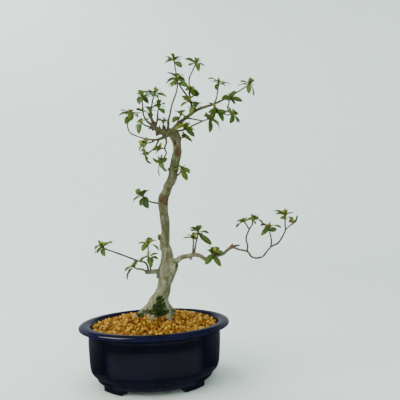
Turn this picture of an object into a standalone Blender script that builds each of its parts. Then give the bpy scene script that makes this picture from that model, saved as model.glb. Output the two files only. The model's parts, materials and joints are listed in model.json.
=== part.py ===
"""Satsuki azalea bonsai in a glazed oval pot, about 0.39 m tall.

The pot stands on four feet and is filled with granular soil. The tree's wood is one
solid, and each leafy shoot is one solid that starts just beyond the twig it grows from.
The tree is drawn as it is seen from the front, in millimetres: x to the right, z up,
and a depth away from the viewer. Each drawn point slides along its own line of sight to
its depth, so the front view keeps its shape while the crown fills out in the round.
"""
import math
import random

import bmesh
import bpy
from mathutils import Matrix, Vector, geometry
from mathutils.bvhtree import BVHTree

MM = 0.001
GAP = 0.35

# Pot, in millimetres
LIP_LENGTH = 174.0
LIP_WIDTH = 140.0
FOOT_HEIGHT = 5.5
FLOOR_TOP = 12.0
DRAIN_RADIUS = 6.0
DRAIN_OFFSET = 27.0
POT_SIDES = 36

# The front view that the tree is drawn in: a pane square to the line of sight
EYE = Vector((56.4, -456.0, 172.5))
PANE_REACH = 456.0
PANE_MIDDLE = (55.8, 212.4)
VIEW_PITCH = math.radians(4.2)
VIEW_LEAN = math.radians(1.5)
POT_TURN = math.radians(4.0)

# Leaves
LEAF_LENGTH = 17.0
LEAF_WIDTH = 6.2
LEAF_THICKNESS = 0.9
FACING = Vector((0.0, -1.6, 0.0))
SEED = 7

# After a union or a cut: how close corners are merged, in millimetres, and how nearly flat
# faces are joined, in degrees; the first pair that keeps the solid closed is used
TIDYING = ((0.06, 2.0), (0.02, 0.8), (0.005, 0.3), (0.0005, 0.0))

# How far in from the lip's edge, and how high: the outside from the base up over the lip
OUTSIDE = ((19.8, 5.5), (18.8, 6.4), (18.6, 10.4), (16.6, 11.3), (13.8, 13.6), (12.2, 17.2),
           (11.3, 23.0), (10.5, 34.0), (9.9, 46.0), (9.7, 56.6), (7.4, 59.0), (3.0, 59.8),
           (0.6, 61.0), (0.0, 62.6), (0.7, 64.4), (3.0, 65.6), (6.2, 66.0), (9.6, 65.5),
           (11.6, 64.0), (12.4, 62.0))
INSIDE = ((13.8, 56.0), (14.8, 46.0), (15.4, 32.0), (17.2, 20.0), (21.0, 14.4), (26.5, 12.4),
          (31.5, 12.0))


def material(name, colour, roughness):
    made = bpy.data.materials.new(name)
    made.use_nodes = True
    shader = made.node_tree.nodes["Principled BSDF"]
    shader.inputs["Base Color"].default_value = (*colour, 1.0)
    shader.inputs["Roughness"].default_value = roughness
    shader.inputs["Metallic"].default_value = 0.0
    return made


def solid(name, vertices, faces, finish=None):
    """A mesh object from corners in millimetres, with its faces turned outwards."""
    mesh = bpy.data.meshes.new(name)
    mesh.from_pydata([[value * MM for value in corner] for corner in vertices], [], faces)
    work = bmesh.new()
    work.from_mesh(mesh)
    bmesh.ops.triangulate(work, faces=work.faces)
    bmesh.ops.recalc_face_normals(work, faces=work.faces)
    work.to_mesh(mesh)
    work.free()
    made = bpy.data.objects.new(name, mesh)
    if finish:
        mesh.materials.append(finish)
    bpy.context.scene.collection.objects.link(made)
    return made


def bodies(work):
    """The faces of each separate body of a mesh, the largest body first."""
    found = []
    left = set(work.faces)
    while left:
        body = {left.pop()}
        rim = list(body)
        while rim:
            near = {face for edge in rim.pop().edges for face in edge.link_faces} & left
            left -= near
            body |= near
            rim += near
        found.append(body)
    return sorted(found, key=len, reverse=True)


def tidied(mesh, merge, flat, speck=4.0):
    """Merges close corners and flat neighbouring faces, if the mesh is one closed body after it.

    Pockets smaller than a speck, which pieces that meet can shut in, are filled.
    """
    work = bmesh.new()
    work.from_mesh(mesh)
    bmesh.ops.remove_doubles(work, verts=work.verts, dist=merge * MM)
    if flat:
        bmesh.ops.dissolve_limit(work, angle_limit=math.radians(flat), verts=work.verts,
                                 edges=work.edges)
    bmesh.ops.triangulate(work, faces=work.faces)
    for body in bodies(work)[1:]:
        places = [corner.co for face in body for corner in face.verts]
        if max((place - places[0]).length for place in places) < speck * MM:
            bmesh.ops.delete(work, geom=list(body), context="FACES")
    closed = len(bodies(work)) == 1 and all(edge.is_manifold for edge in work.edges)
    if closed:
        work.to_mesh(mesh)
    work.free()
    return closed


def combine(name, body, others, operation, finish):
    """One solid from a body and other solids, which are then removed."""
    gathered = bpy.data.collections.new(name + "_operands")
    bpy.context.scene.collection.children.link(gathered)
    for other in others:
        gathered.objects.link(other)
    for solver in ("EXACT", "MANIFOLD"):
        step = body.modifiers.new(operation, "BOOLEAN")
        step.operation = operation
        step.operand_type = "COLLECTION"
        step.collection = gathered
        step.solver = solver
        graph = bpy.context.evaluated_depsgraph_get()
        mesh = bpy.data.meshes.new_from_object(body.evaluated_get(graph))
        body.modifiers.remove(step)
        if any(tidied(mesh, *amounts) for amounts in TIDYING):
            break
        print("not closed:", name, solver)
    for other in (body, *others):
        bpy.data.objects.remove(other)
    bpy.data.collections.remove(gathered)
    mesh.name = name
    mesh.materials.clear()
    mesh.materials.append(finish)
    made = bpy.data.objects.new(name, mesh)
    bpy.context.scene.collection.objects.link(made)
    return made


def oval(inset, height, sides=POT_SIDES, start=0.0, turn=math.tau):
    """Points round the pot's plan, as far in from the lip's edge as inset gives."""
    across = LIP_LENGTH / 2 - 1.1 * inset
    deep = LIP_WIDTH / 2 - 0.88 * inset
    closed = turn == math.tau
    count = sides if closed else sides + 1
    angles = [start + turn * step / sides for step in range(count)]
    return [(across * math.cos(a), deep * math.sin(a), height) for a in angles]


def stacked(rings):
    """Corners and faces of a body whose rings follow one another, closed at both ends."""
    count = len(rings[0])
    vertices = [corner for ring in rings for corner in ring]
    faces = [tuple(range(count)), tuple(range(len(vertices) - count, len(vertices)))]
    for level in range(len(rings) - 1):
        for side in range(count):
            after = (side + 1) % count
            faces.append((level * count + side, level * count + after,
                          (level + 1) * count + after, (level + 1) * count + side))
    return vertices, faces


def foot(middle, spread=math.radians(13.0), steps=3):
    """One of the pot's feet, a curved block under the base band."""
    outline = []
    for height, shrink in ((0.0, 1.2), (1.2, 0.2), (FOOT_HEIGHT + 1.0, 0.0)):
        arc = spread - shrink / 60
        outer = oval(19.4 + shrink, height, steps, middle - arc, 2 * arc)
        inner = oval(28.7 - shrink, height, steps, middle - arc, 2 * arc)
        outline.append(outer + inner[::-1])
    return stacked(outline)


def make_pot(glaze):
    body = solid("pot_body", *stacked([oval(*ring) for ring in OUTSIDE + INSIDE]))
    corner = math.radians(47.0)
    middles = (corner, math.pi - corner, math.pi + corner, -corner)
    feet = [solid("foot", *foot(middle)) for middle in middles]
    body = combine("pot_on_feet", body, feet, "UNION", glaze)
    holes = []
    for side in (-1, 1):
        rings = [[(side * DRAIN_OFFSET + DRAIN_RADIUS * math.cos(a), DRAIN_RADIUS * math.sin(a), z)
                  for a in (math.tau * step / 16 for step in range(16))] for z in (0.0, 20.0)]
        holes.append(solid("drain", *stacked(rings)))
    return combine("pot", body, holes, "DIFFERENCE", glaze)


def make_screen(name, middle_x, plastic, cells=2, cell=10.8, bar=1.8, thick=1.0):
    """A square of plastic mesh over a drain hole, under the soil."""
    lines = []
    for step in range(cells + 1):
        lines += [step * cell, step * cell + bar]
    half = lines[-1] / 2
    vertices = [(middle_x + x - half, y - half, z)
                for z in (FLOOR_TOP + GAP, FLOOR_TOP + GAP + thick) for x in lines for y in lines]
    count = len(lines)
    faces = []

    def corner(i, j, level):
        return level * count * count + i * count + j

    def is_bar(i, j):
        return 0 <= i < count - 1 and 0 <= j < count - 1 and (i % 2 == 0 or j % 2 == 0)

    for i in range(count - 1):
        for j in range(count - 1):
            if not is_bar(i, j):
                continue
            for level in (0, 1):
                faces.append([corner(i, j, level), corner(i + 1, j, level),
                              corner(i + 1, j + 1, level), corner(i, j + 1, level)])
            for step, ends in (((-1, 0), ((i, j), (i, j + 1))), ((1, 0), ((i + 1, j), (i + 1, j + 1))),
                               ((0, -1), ((i, j), (i + 1, j))), ((0, 1), ((i, j + 1), (i + 1, j + 1)))):
                if not is_bar(i + step[0], j + step[1]):
                    (a, b), (c, d) = ends
                    faces.append([corner(a, b, 0), corner(c, d, 0), corner(c, d, 1), corner(a, b, 1)])
    used = sorted({index for face in faces for index in face})
    renumber = {index: place for place, index in enumerate(used)}
    return solid(name, [vertices[index] for index in used],
                 [[renumber[index] for index in face] for face in faces], plastic)


def soil_level(x, y):
    """Height of the soil, mounded towards the trunk."""
    mound = 11.5 * math.exp(-((x - 5) / 36) ** 2 - ((y - 4) / 34) ** 2)
    return 63.4 - 2.4 * (x / 74) ** 2 + mound


def make_soil(roots, earth, spacing=5.6, grain=1.5):
    """The filling of the pot, its top raised in grains, with holes for the trunk and roots."""
    rng = random.Random(SEED)
    edge = [(x, y) for x, y, _ in oval(13.1, 0.0)]
    inner = []
    rows = int(LIP_WIDTH / spacing)
    for row in range(-rows, rows + 1):
        for column in range(-rows, rows + 1):
            x = (column + (row % 2) / 2) * spacing + rng.uniform(-0.7, 0.7)
            y = row * spacing * 0.866 + rng.uniform(-0.7, 0.7)
            across, deep = LIP_LENGTH / 2 - 17.6, LIP_WIDTH / 2 - 14.4
            if (x / across) ** 2 + (y / deep) ** 2 < 1:
                crest = (column - row // 2 + 2 * row) % 3 == 0
                inner.append((x, y, grain if crest else rng.uniform(-0.6, 0.2)))
    flat = [Vector(point) for point in edge] + [Vector(point[:2]) for point in inner]
    corners, _, triangles, *_ = geometry.delaunay_2d_cdt(flat, [], [], 0, 0.001)
    lifts = [0.0] * len(edge) + [point[2] for point in inner]
    vertices = [(p.x, p.y, (61.4 if index < len(edge) else soil_level(p.x, p.y)) + lifts[index])
                for index, p in enumerate(corners)]
    faces = [list(triangle) for triangle in triangles]
    above = list(range(len(edge)))
    for inset, height in INSIDE:
        ring = list(range(len(vertices), len(vertices) + POT_SIDES))
        vertices += oval(inset + 0.4, height + (GAP if height < 20 else 0.0))
        for side in range(POT_SIDES):
            after = (side + 1) % POT_SIDES
            faces.append([above[side], above[after], ring[after], ring[side]])
        above = ring
    faces.append(above)
    block = solid("soil_block", vertices, faces)
    recesses = []
    for side in (-1, 1):
        middle = side * DRAIN_OFFSET
        rings = [[(middle - 12.5, -12.5, z), (middle + 12.5, -12.5, z), (middle + 12.5, 12.5, z),
                  (middle - 12.5, 12.5, z)] for z in (5.0, FLOOR_TOP + 2 * GAP + 1.0)]
        recesses.append(solid("recess", *stacked(rings)))
    return combine("soil", block, roots + recesses, "DIFFERENCE", earth)


def spot(x, z, depth=0.0):
    """A drawn point at its depth, in the part's own frame."""
    across, up = x - PANE_MIDDLE[0], z - PANE_MIDDLE[1]
    sight = Vector((across * math.cos(VIEW_LEAN) + up * math.sin(VIEW_LEAN), PANE_REACH,
                    up * math.cos(VIEW_LEAN) - across * math.sin(VIEW_LEAN)))
    sight = Matrix.Rotation(VIEW_PITCH, 3, "X") @ sight
    reach = (depth - EYE.y) / sight.y
    return Matrix.Rotation(-POT_TURN, 3, "Z") @ (EYE + sight * reach)


def tube(points, radii, sides, grow=0.0, gnarl=0.0):
    """A closed tube through points, with a radius at each, turned as little as it can be."""
    headings = []
    for index in range(len(points)):
        before, after = points[max(index - 1, 0)], points[min(index + 1, len(points) - 1)]
        headings.append((after - before).normalized())
    points = list(points)
    points[0] = points[0] - headings[0] * grow
    points[-1] = points[-1] + headings[-1] * grow
    side = headings[0].orthogonal().normalized()
    rings = []
    for index, (point, heading, radius) in enumerate(zip(points, headings, radii)):
        side = (side - heading * side.dot(heading)).normalized()
        other = heading.cross(side)
        ring = []
        for step in range(sides):
            angle = math.tau * step / sides
            lump = 1 + gnarl * math.sin(3 * angle + 0.9 * index) + gnarl * math.sin(2 * angle - index)
            ring.append(point + (side * math.cos(angle) + other * math.sin(angle))
                        * (radius * lump + grow))
        rings.append(ring)
    return stacked(rings)


# The trunk as drawn: x, z, depth, radius
TRUNK = ((4, 46, 0, 11), (4, 70, 0, 15), (5, 84, 0, 13.2), (7, 92, -1, 11), (9.4, 98.4, -1, 9.2),
         (12, 105, -2, 8.7), (13.6, 113, -3, 8.3), (15, 127, -4, 8.9), (16.6, 138, -3, 7.8),
         (16.2, 150, 0, 6.4), (13.2, 158, 1, 5.8), (14.2, 175, 2, 5.2), (13.4, 187, 1, 5.8),
         (12, 199, -2, 5.4), (11.9, 213, -4, 6.1), (15.8, 222.6, -5, 5.1), (18, 230, -6, 5.1),
         (22.4, 238, -6, 5.6), (24, 248.4, -5, 5.4), (26, 260, -4, 5.9), (28, 269, -3, 5.2),
         (28.1, 278.4, -2, 4.8), (26, 289, -2, 6.2), (21, 295.6, -2, 5.4))

# Surface roots: x, z, depth, radius
ROOTS = (((5, 92, 0, 7.5), (-5, 83.5, 0, 5.4), (-13, 77.5, -1, 4.2), (-20, 72, -2, 3.2), (-27, 65, -3, 2.2)),
         ((11, 90, 0, 7.5), (17, 80, 0, 5.6), (23.5, 73.5, 1, 3.8), (31, 66.5, 2, 2.2)),
         ((7, 88, -3, 6.5), (2.5, 78, -11, 4.8), (-2, 69, -18, 3.2), (-6, 60, -23, 2)),
         ((11, 87, -3, 6), (16, 77, -11, 4.2), (20.5, 67, -17, 2.6), (24, 59, -22, 1.8)),
         ((7, 89, 3, 6.5), (0, 81, 13, 4.6), (-7, 74, 22, 3), (-12, 67, 28, 2)),
         ((11, 89, 3, 6), (20, 81, 13, 4.2), (27, 74, 22, 2.4)))

# Branches and twigs: sides, then x, z, depth, radius at each point
LIMBS = (
    (7, ((14, 126.4, -4, 3.6), (2, 126.6, -7, 2.9), (-10.2, 125.8, -9, 2.6))),
    (5, ((-6, 127, -8, 1.2), (-9, 136.6, -10, 1.1), (-19.3, 139.7, -14, 1.0), (-40, 147.4, -23, 0.95),
         (-58, 153.8, -30, 0.9))),
    (5, ((-3, 127, -7, 1.2), (-4.2, 133, -6, 1.1), (-5.2, 137, -5, 1.0))),
    (5, ((-7, 126, -9, 1.3), (-14, 129.2, -14, 1.1), (-20, 129.6, -18, 0.95))),
    (8, ((15, 140, -3, 5.2), (26, 139, -6, 3.8), (33, 143.4, -8, 2.9), (41.4, 145.2, -10, 2.7),
         (49.8, 146.9, -13, 2.6), (57.4, 144.7, -15, 2.5), (62.6, 141.8, -17, 2.4),
         (73.3, 145.2, -19, 2.2), (83.4, 147.8, -21, 1.9), (90, 154, -22, 1.6),
         (95.4, 160.2, -22, 1.0))),
    (6, ((44, 145.6, -11, 2.0), (45, 140.6, -12, 1.6))),
    (6, ((86, 150, -21, 1.5), (94.8, 155.2, -22, 1.35), (103.3, 152.8, -23, 1.3),
         (112.4, 150.7, -23, 1.3), (117.6, 144.4, -22, 1.2), (124, 142.8, -21, 1.15),
         (130.8, 144.6, -20, 1.1), (135.5, 150, -20, 1.1), (141, 156.7, -21, 1.1))),
    (5, ((112.4, 150.7, -23, 1.1), (113, 157.2, -24, 1.05), (111.4, 163.6, -24, 1.0),
         (111.6, 169, -23, 1.0), (115.3, 178, -22, 0.95))),
    (5, ((114.8, 177, -22, 0.9), (112.4, 181.4, -26, 0.8))),
    (5, ((115.3, 178, -22, 0.9), (118.6, 182.8, -18, 0.8))),
    (5, ((140.6, 156.2, -21, 1.0), (141.7, 162, -24, 0.95), (140.6, 168.7, -26, 0.9),
         (139.6, 173.4, -27, 0.9))),
    (5, ((140.6, 156.2, -21, 1.0), (149.2, 160.8, -18, 1.0), (153.8, 167, -16, 0.95),
         (157.2, 173.4, -14, 0.9), (158.2, 176.8, -13, 0.9), (157.9, 184, -12, 0.85))),
    (5, ((158.2, 176.4, -13, 0.85), (161.9, 180.2, -17, 0.8), (165.6, 182.8, -20, 0.8))),
    (5, ((47.2, 146.6, -12, 1.2), (47.4, 154, -15, 1.0), (48, 161, -17, 0.9))),
    (5, ((48.6, 146.8, -13, 1.3), (50, 155, -10, 1.1), (51.6, 163.9, -6, 1.0), (52.8, 167.6, -4, 0.95))),
    (8, ((22, 294, -2, 3.6), (27.6, 301.6, -1, 2.7), (37.3, 309.6, 2, 2.3), (49, 318.5, 6, 2.0),
         (57, 322.4, 9, 1.8), (72.6, 327.6, 14, 1.5), (84, 333, 17, 1.3), (96, 339, 20, 1.1))),
    (5, ((72, 327.4, 14, 1.1), (75, 333, 18, 1.0), (77, 342, 23, 0.9))),
    (5, ((90, 335.9, 18, 1.0), (90.6, 329.6, 13, 0.9), (88.6, 322.4, 8, 0.9))),
    (5, ((72, 327.3, 14, 1.0), (73.6, 324, 9, 0.9))),
    (5, ((23, 296.8, -3, 1.6), (31, 295.6, -7, 1.3), (41, 298.6, -8, 1.1), (50, 303.2, -9, 1.0),
         (59, 307, -10, 0.9))),
    (5, ((36, 296.4, -7, 1.0), (36.2, 296.2, -11, 0.9))),
    (5, ((47, 317, 5, 1.5), (44.6, 330.4, 6, 1.25), (36.8, 342, 4, 1.1), (31.6, 349.6, 0, 1.0))),
    (5, ((44.9, 328.4, 6, 1.15), (43, 338.6, 8, 1.05), (42.8, 349, 11, 0.95), (43.2, 359, 14, 0.9),
         (47.6, 369, 16, 0.85))),
    (5, ((40, 310.8, 1.4, 1.3), (47, 309.6, -4, 1.0), (54.6, 308.2, -8, 0.9), (59.4, 307.2, -10, 0.9))),
    (5, ((73.6, 324.4, 9.4, 0.9), (80.4, 317.7, 8, 0.85), (88.4, 314.4, 7, 0.8))),
    (5, ((71, 327.6, 13.6, 1.0), (66.4, 329.2, 11, 0.8))),
    (5, ((17.6, 296.6, -1, 1.9), (18, 307.4, 2, 1.3), (19.8, 316, 4, 1.15), (22.2, 327, 6, 1.0),
         (26.5, 338.6, 8, 0.95), (28.6, 347.6, 9, 0.9))),
    (8, ((22, 294.4, -2, 4.6), (11.4, 293.6, -3, 3.9), (3, 298, -5, 3.2), (-2.3, 302.6, -7, 2.5))),
    (5, ((0.4, 299.6, -6, 1.9), (2.6, 306.2, -7, 1.3))),
    (5, ((-1.6, 302, -7, 1.8), (-8.4, 307.6, -9, 1.2), (-11.2, 312.4, -10, 1.0))),
    (5, ((0, 301.4, -6, 1.4), (-3, 309.6, -13, 1.0))),
    (5, ((2, 299.6, -5, 1.6), (4.4, 308.6, 0, 1.1), (5.2, 317, 4, 1.0))),
    (5, ((2.8, 302.4, -4, 1.2), (-2.2, 312, 6, 1.0), (-2.4, 323, 11, 0.95), (-1, 332.2, 13, 0.9))),
    (5, ((0.6, 300, -6, 1.4), (-5, 300.2, -11, 1.1), (-9.6, 301.8, -14, 1.0))),
    (5, ((11.6, 294, -3, 1.6), (11.4, 301.4, 1, 1.0))),
    (6, ((19.4, 292.6, -2, 3.6), (11.9, 287.4, -1, 2.2), (1.4, 284.6, 2, 1.4), (-12.6, 286.6, 6, 1.1),
         (-23.6, 290.6, 9, 1.05), (-28.4, 293.6, 10, 1.0), (-31, 300, 11, 1.0), (-31, 307.6, 12, 0.9))),
    (5, ((3, 285, 1, 1.1), (-3, 281.6, -6, 0.95), (-7, 280.8, -9, 0.9))),
    (5, ((7.4, 286.6, 0, 1.2), (2, 276, 4, 1.0), (-4.6, 269.6, 8, 0.9))),
    (5, ((14, 290, -1, 1.7), (15.4, 281.3, -8, 1.15), (13.6, 275.2, -10, 1.05), (15.6, 268.6, -11, 0.95))),
    (5, ((23.6, 241, -6, 1.8), (29.6, 242.6, -9, 1.1), (32, 245.6, -10, 0.95))),
    (5, ((12, 208.3, -3, 2.0), (5, 208.6, -6, 1.2), (-3.7, 210.2, -9, 1.0), (-8, 212.4, -11, 0.9))),
    (5, ((27, 287, -3, 1.6), (34, 287.4, -8, 0.9))),
    (7, ((13, 165, 2, 4.6), (8.6, 167.4, 0, 4.1), (5.8, 167.6, -1, 3.5))),
    (7, ((12.4, 212.6, -4, 5.2), (9.4, 214, -8, 3.6), (8.4, 214.4, -10, 2.0))),
    (5, ((28, 270, -3, 3.4), (33.6, 270.4, -5, 1.8))),
    (5, ((14, 122, -3, 5.0), (7, 121, -5, 3.0), (3.8, 120.8, -5, 2.4))),
    (8, ((15, 116, -3, 8.0), (18.5, 124, -4, 8.0), (22.8, 132, -5, 7.0), (26.5, 137, -6, 4.6))),
    (5, ((7, 292.6, -3, 2.0), (3.4, 290, -5, 1.4))),
    (5, ((1.6, 298.8, -5, 1.8), (-1.6, 296.2, -7, 1.3))),
)


def drawn_tube(points, sides, grow=0.0, gnarl=0.0):
    return tube([spot(*point[:3]) for point in points], [point[3] for point in points], sides,
                grow, gnarl)


def root_solids(grow):
    """The buried foot of the trunk and the surface roots, made larger by grow all round."""
    foot_of_trunk = drawn_tube(TRUNK[:5], 12, grow, 0.05)
    made = [solid("trunk_foot", *foot_of_trunk)]
    return made + [solid("root", *drawn_tube(points, 8, grow)) for points in ROOTS]


def make_wood(bark):
    trunk = solid("trunk", *drawn_tube(TRUNK, 12, 0.0, 0.05))
    limbs = [solid("root", *drawn_tube(points, 8)) for points in ROOTS]
    limbs += [solid("limb", *drawn_tube(points, sides)) for sides, points in LIMBS]
    return combine("trunk_and_branches", trunk, limbs, "UNION", bark)


# Shoots: where the stem leaves the wood (x, z, depth), the whorls up the stem, each with
# its heart (x, z, depth), its bud's length, the leaf tips as drawn (x, z, side), where
# side is 1 for a leaf that reaches away, -1 for one that reaches towards the viewer and
# -2 for one that also turns its face there, and the number of further leaves that a rule
# turns to the front and back
SHOOTS = {
    "apex": ((28.6, 347.6, 9), (
        ((28, 358.6, 10), 0, ((15.8, 365.9, -1), (13.6, 352.2, -1), (22.7, 366.5, 1), (31.2, 365.6, 1),
                              (42, 355, -2)), 2),
        ((24.6, 379.6, 12), 9, ((12.1, 377, -1), (38.2, 369, -2), (30.6, 384.6, 1)), 2))),
    "below_apex": ((31.6, 349.6, 0), (
        ((28.4, 354.6, -4), 4, ((21.6, 348.4, -2), (17.4, 350, 1), (40.6, 349.6, -1), (36, 363, 1)), 1),)),
    "upper_right": ((47.6, 369, 16), (
        ((50.4, 376.3, 17), 6, ((37.4, 382.1, -1), (38.2, 373.7, -2), (64.9, 372.5, -1),
                                (54.2, 368.8, -2), (51.6, 385.2, 1)), 1),)),
    "under_upper": ((43.4, 339.4, 8), (
        ((44.8, 343.6, 4), 5, ((55.7, 339.6, -1), (55.2, 331.6, -2), (51.2, 335, -2)), 1),)),
    "small_bright": ((45.4, 328.8, 6.5), (
        ((42.2, 330.6, 3), 2, ((30.4, 336.2, -1),), 0),)),
    "fork": ((50, 319, 6), (
        ((50.6, 324.8, 5), 4, ((39.2, 314, -2), (57, 328, -2), (44.8, 331.8, 1), (52.6, 334, 1)), 2),)),
    "upper_back": ((77, 342, 23), (
        ((78, 352.4, 25), 8, ((65.6, 358.6, 1), (93, 351.7, -1), (85.2, 351, -2), (75.4, 344.6, -2)),
         1),)),
    "branch_tip": ((96, 339, 20), (
        ((114.1, 350.3, 23), 5, ((104.5, 355.9, 1), (101.6, 350, -1), (119.5, 359.6, 1),
                                 (130.2, 345.8, -1), (121.9, 337.8, -1), (114.6, 341.8, -2)), 1),)),
    "branch_bud": ((91, 336.5, 18.5), (
        ((91.8, 334.2, 14), 4, ((98.9, 343, -2), (106.2, 331.7, -2), (82.7, 334.6, -1),
                                (81.7, 325.8, -1)), 0),)),
    "under_branch": ((73.6, 324, 9), (
        ((74.4, 319.4, 7), 4, ((87.1, 318, -1), (84.2, 307.7, -1), (64.8, 319.4, -1), (71, 328, 1)), 1),)),
    "right_of_branch": ((88.4, 314.4, 7), (
        ((94.2, 314.8, 6), 4, ((92, 305, -2), (102.8, 305.2, -1), (101.4, 315.8, 1), (88.4, 319.4, 1)),
         1),)),
    "right_hanging": ((59.4, 307.2, -10), (
        ((66.6, 309.8, -11), 4, ((67.6, 293.5, -2), (79.3, 304.7, -1), (81.7, 296.4, -1),
                                 (58.4, 311, -2), (73, 316, 1), (63, 318.4, 1)), 1),)),
    "beside_crown": ((36.2, 296.2, -11), (
        ((36.6, 299.4, -14), 4, ((49.2, 289.3, -2), (28.4, 306, 1), (44.2, 307.4, -1)), 1),)),
    "crown_side": ((34, 287.4, -8), (
        ((36.4, 287.4, -10), 0, ((44.4, 285.4, 1), (41.6, 289.4, -1)), 0),)),
    "over_crown": ((28, 304, -0.5), (
        ((32.6, 314.4, -2), 3, ((26.6, 319.4, 1), (37.4, 320.6, 1), (22.8, 306.5, -1),
                                (37.6, 311.6, -1)), 0),)),
    "left_outer": ((-31, 307.6, 12), (
        ((-28.8, 316, 13), 5, ((-42.6, 313.3, -1), (-38.4, 321, 1), (-26.8, 326, 1), (-22.6, 324.2, -1),
                               (-18.8, 313.7, -1), (-33.8, 303.7, -2), (-26.6, 309.4, -1)), 1),)),
    "left_tall": ((-11.2, 312.4, -10), (
        ((-12.4, 317.4, -11), 0, ((-22.8, 319.8, -2),), 0),
        ((-13.9, 337.1, -12), 4, ((-16.8, 327.6, -2), (-20.8, 340.6, -1), (-15.8, 345, 1),
                                  (-2.4, 326.8, -2)), 1))),
    "top_cone": ((-1, 332.2, 13), (
        ((1.2, 339.4, 14), 10, ((16.3, 336.2, -1), (-12.7, 342.8, 1), (-11.2, 338.2, -1)), 3),)),
    "left_heart": ((5.2, 317, 4), (
        ((6, 323.4, 5), 5, ((13, 328, 1), (7.8, 333.4, 1), (12.8, 317.8, -1), (-2.4, 326, -1)), 1),)),
    "left_middle": ((-3, 309.6, -13), (
        ((-4.6, 318.8, -16), 4, ((-9.4, 324.4, -1), (-0.4, 328, -2), (-4.4, 311, -1)), 1),)),
    "left_low": ((-9.6, 301.8, -14), (
        ((-14.2, 304.8, -16), 2, ((-18.1, 292.6, -2), (-17, 309.6, 1)), 0),)),
    "crown_twig": ((11.4, 301.4, 1), (
        ((11.6, 305, 2), 3, ((17, 308.4, -1), (6.4, 309.4, 1)), 0),)),
    "inner_left": ((-7, 280.8, -9), (
        ((-10.8, 280.6, -11), 3, ((-12.8, 272.8, -2), (-8, 273.4, -1), (-17.4, 275.4, 1)), 1),)),
    "inner_low": ((-4.6, 269.6, 8), (
        ((-9.6, 268.6, 10), 4, ((-17.4, 264, -1), (-11.6, 263, -2), (-13.4, 274.6, 1), (-4, 255.6, -1)),
         0),)),
    "inner_leaf": ((13.6, 275.2, -10), (
        ((9.6, 273.8, -11), 0, ((-0.4, 273, -1),), 0),)),
    "beside_trunk": ((15.6, 268.6, -11), (
        ((10.2, 258.6, -13), 4, ((-2, 261.6, -1), (6.8, 266.4, 1), (12.2, 250.6, -2), (2, 252, -1),
                                 (6.6, 240.4, -1), (15.8, 246.8, -1)), 1),)),
    "trunk_right": ((32, 245.6, -10), (
        ((33.4, 248.6, -12), 4, ((40.4, 236.6, -2), (43.4, 246, -1), (40.6, 254.6, -1)), 1),)),
    "far_left": ((-58, 153.8, -30), (
        ((-61.6, 156.8, -32), 5, ((-62.8, 166.6, -2), (-70.4, 154.4, -1), (-49.8, 161.8, -1),
                                  (-48.2, 155.2, 1), (-58.4, 145, -2), (-70.6, 148.8, 1)), 0),)),
    "stub_upright": ((-5.2, 137, -5), (
        ((-6.2, 143.6, -5), 0, ((-18.8, 139.2, -1), (-2.2, 133.2, -2), (3, 136, -1), (-7.6, 133.8, -2),
                                (5.4, 142, 1)), 0),
        ((-6.6, 159.4, -5), 5, ((-13.4, 152.6, -2), (7.3, 153.2, -1), (-4, 168, 1)), 1))),
    "stub_forward": ((-20, 129.6, -18), (
        ((-23.2, 131.8, -20), 3, ((-19, 139.4, -2), (-28.4, 135, -1), (-34.6, 128, -1),
                                  (-32.3, 116.6, -1)), 0),)),
    "left_side": ((-8, 212.4, -11), (
        ((-14, 217, -13), 5, ((-20.4, 226, 1), (-21.4, 222.6, -1), (-8.4, 226, -1), (-3, 212.6, -1),
                              (-6.4, 202.6, -2), (-18.6, 202, -2), (-26, 208.8, -1)), 1),)),
    "right_upright": ((52.8, 167.6, -4), (
        ((53.4, 174.6, -3), 6, ((41.4, 178.6, -1), (42.4, 172.6, 1), (69.8, 159.5, -2), (58.4, 160, -1),
                                (66.4, 173.4, 1), (55.6, 183, -1)), 0),)),
    "right_twin": ((48, 161, -17), (
        ((47.6, 165.8, -18), 3, ((36, 167.4, -1), (50.4, 175, 1), (42, 172, -1)), 0),)),
    "right_hanging_low": ((66, 142.8, -17.6), (
        ((70.8, 148, -23), 4, ((62.8, 135.8, -2), (80.8, 133, -2), (84.4, 148.6, -1), (66.4, 157.4, -1),
                               (78.4, 156.4, 1), (62.6, 150, -2)), 1),)),
    "right_left_twin": ((112.4, 181.4, -26), (
        ((109.2, 186, -28), 2, ((99.6, 179.8, -1), (117.4, 189.4, 1), (103.4, 190, -1)), 0),)),
    "right_right_twin": ((118.6, 182.8, -18), (
        ((119, 187.8, -16), 3, ((127.4, 187, -2), (131.4, 186.2, 1), (120, 195.4, 1)), 0),)),
    "right_middle": ((139.6, 173.4, -27), (
        ((139.4, 179.6, -28), 6, ((128.8, 182.2, -1), (130, 171.4, -2), (151.2, 175.6, -2),
                                  (153, 180.4, 1), (130, 178, 1)), 0),)),
    "right_top": ((157.9, 184, -12), (
        ((157.8, 193, -11), 9, ((143.6, 199.8, -1), (150.4, 189, -2), (170.8, 191, -1),
                                (162.4, 197, 1)), 1),)),
    "right_last": ((165.6, 182.8, -20), (
        ((169.4, 186.2, -22), 3, ((163, 185.8, -1), (176, 186, -1), (172.6, 193, -2)), 0),)),
}


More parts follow.
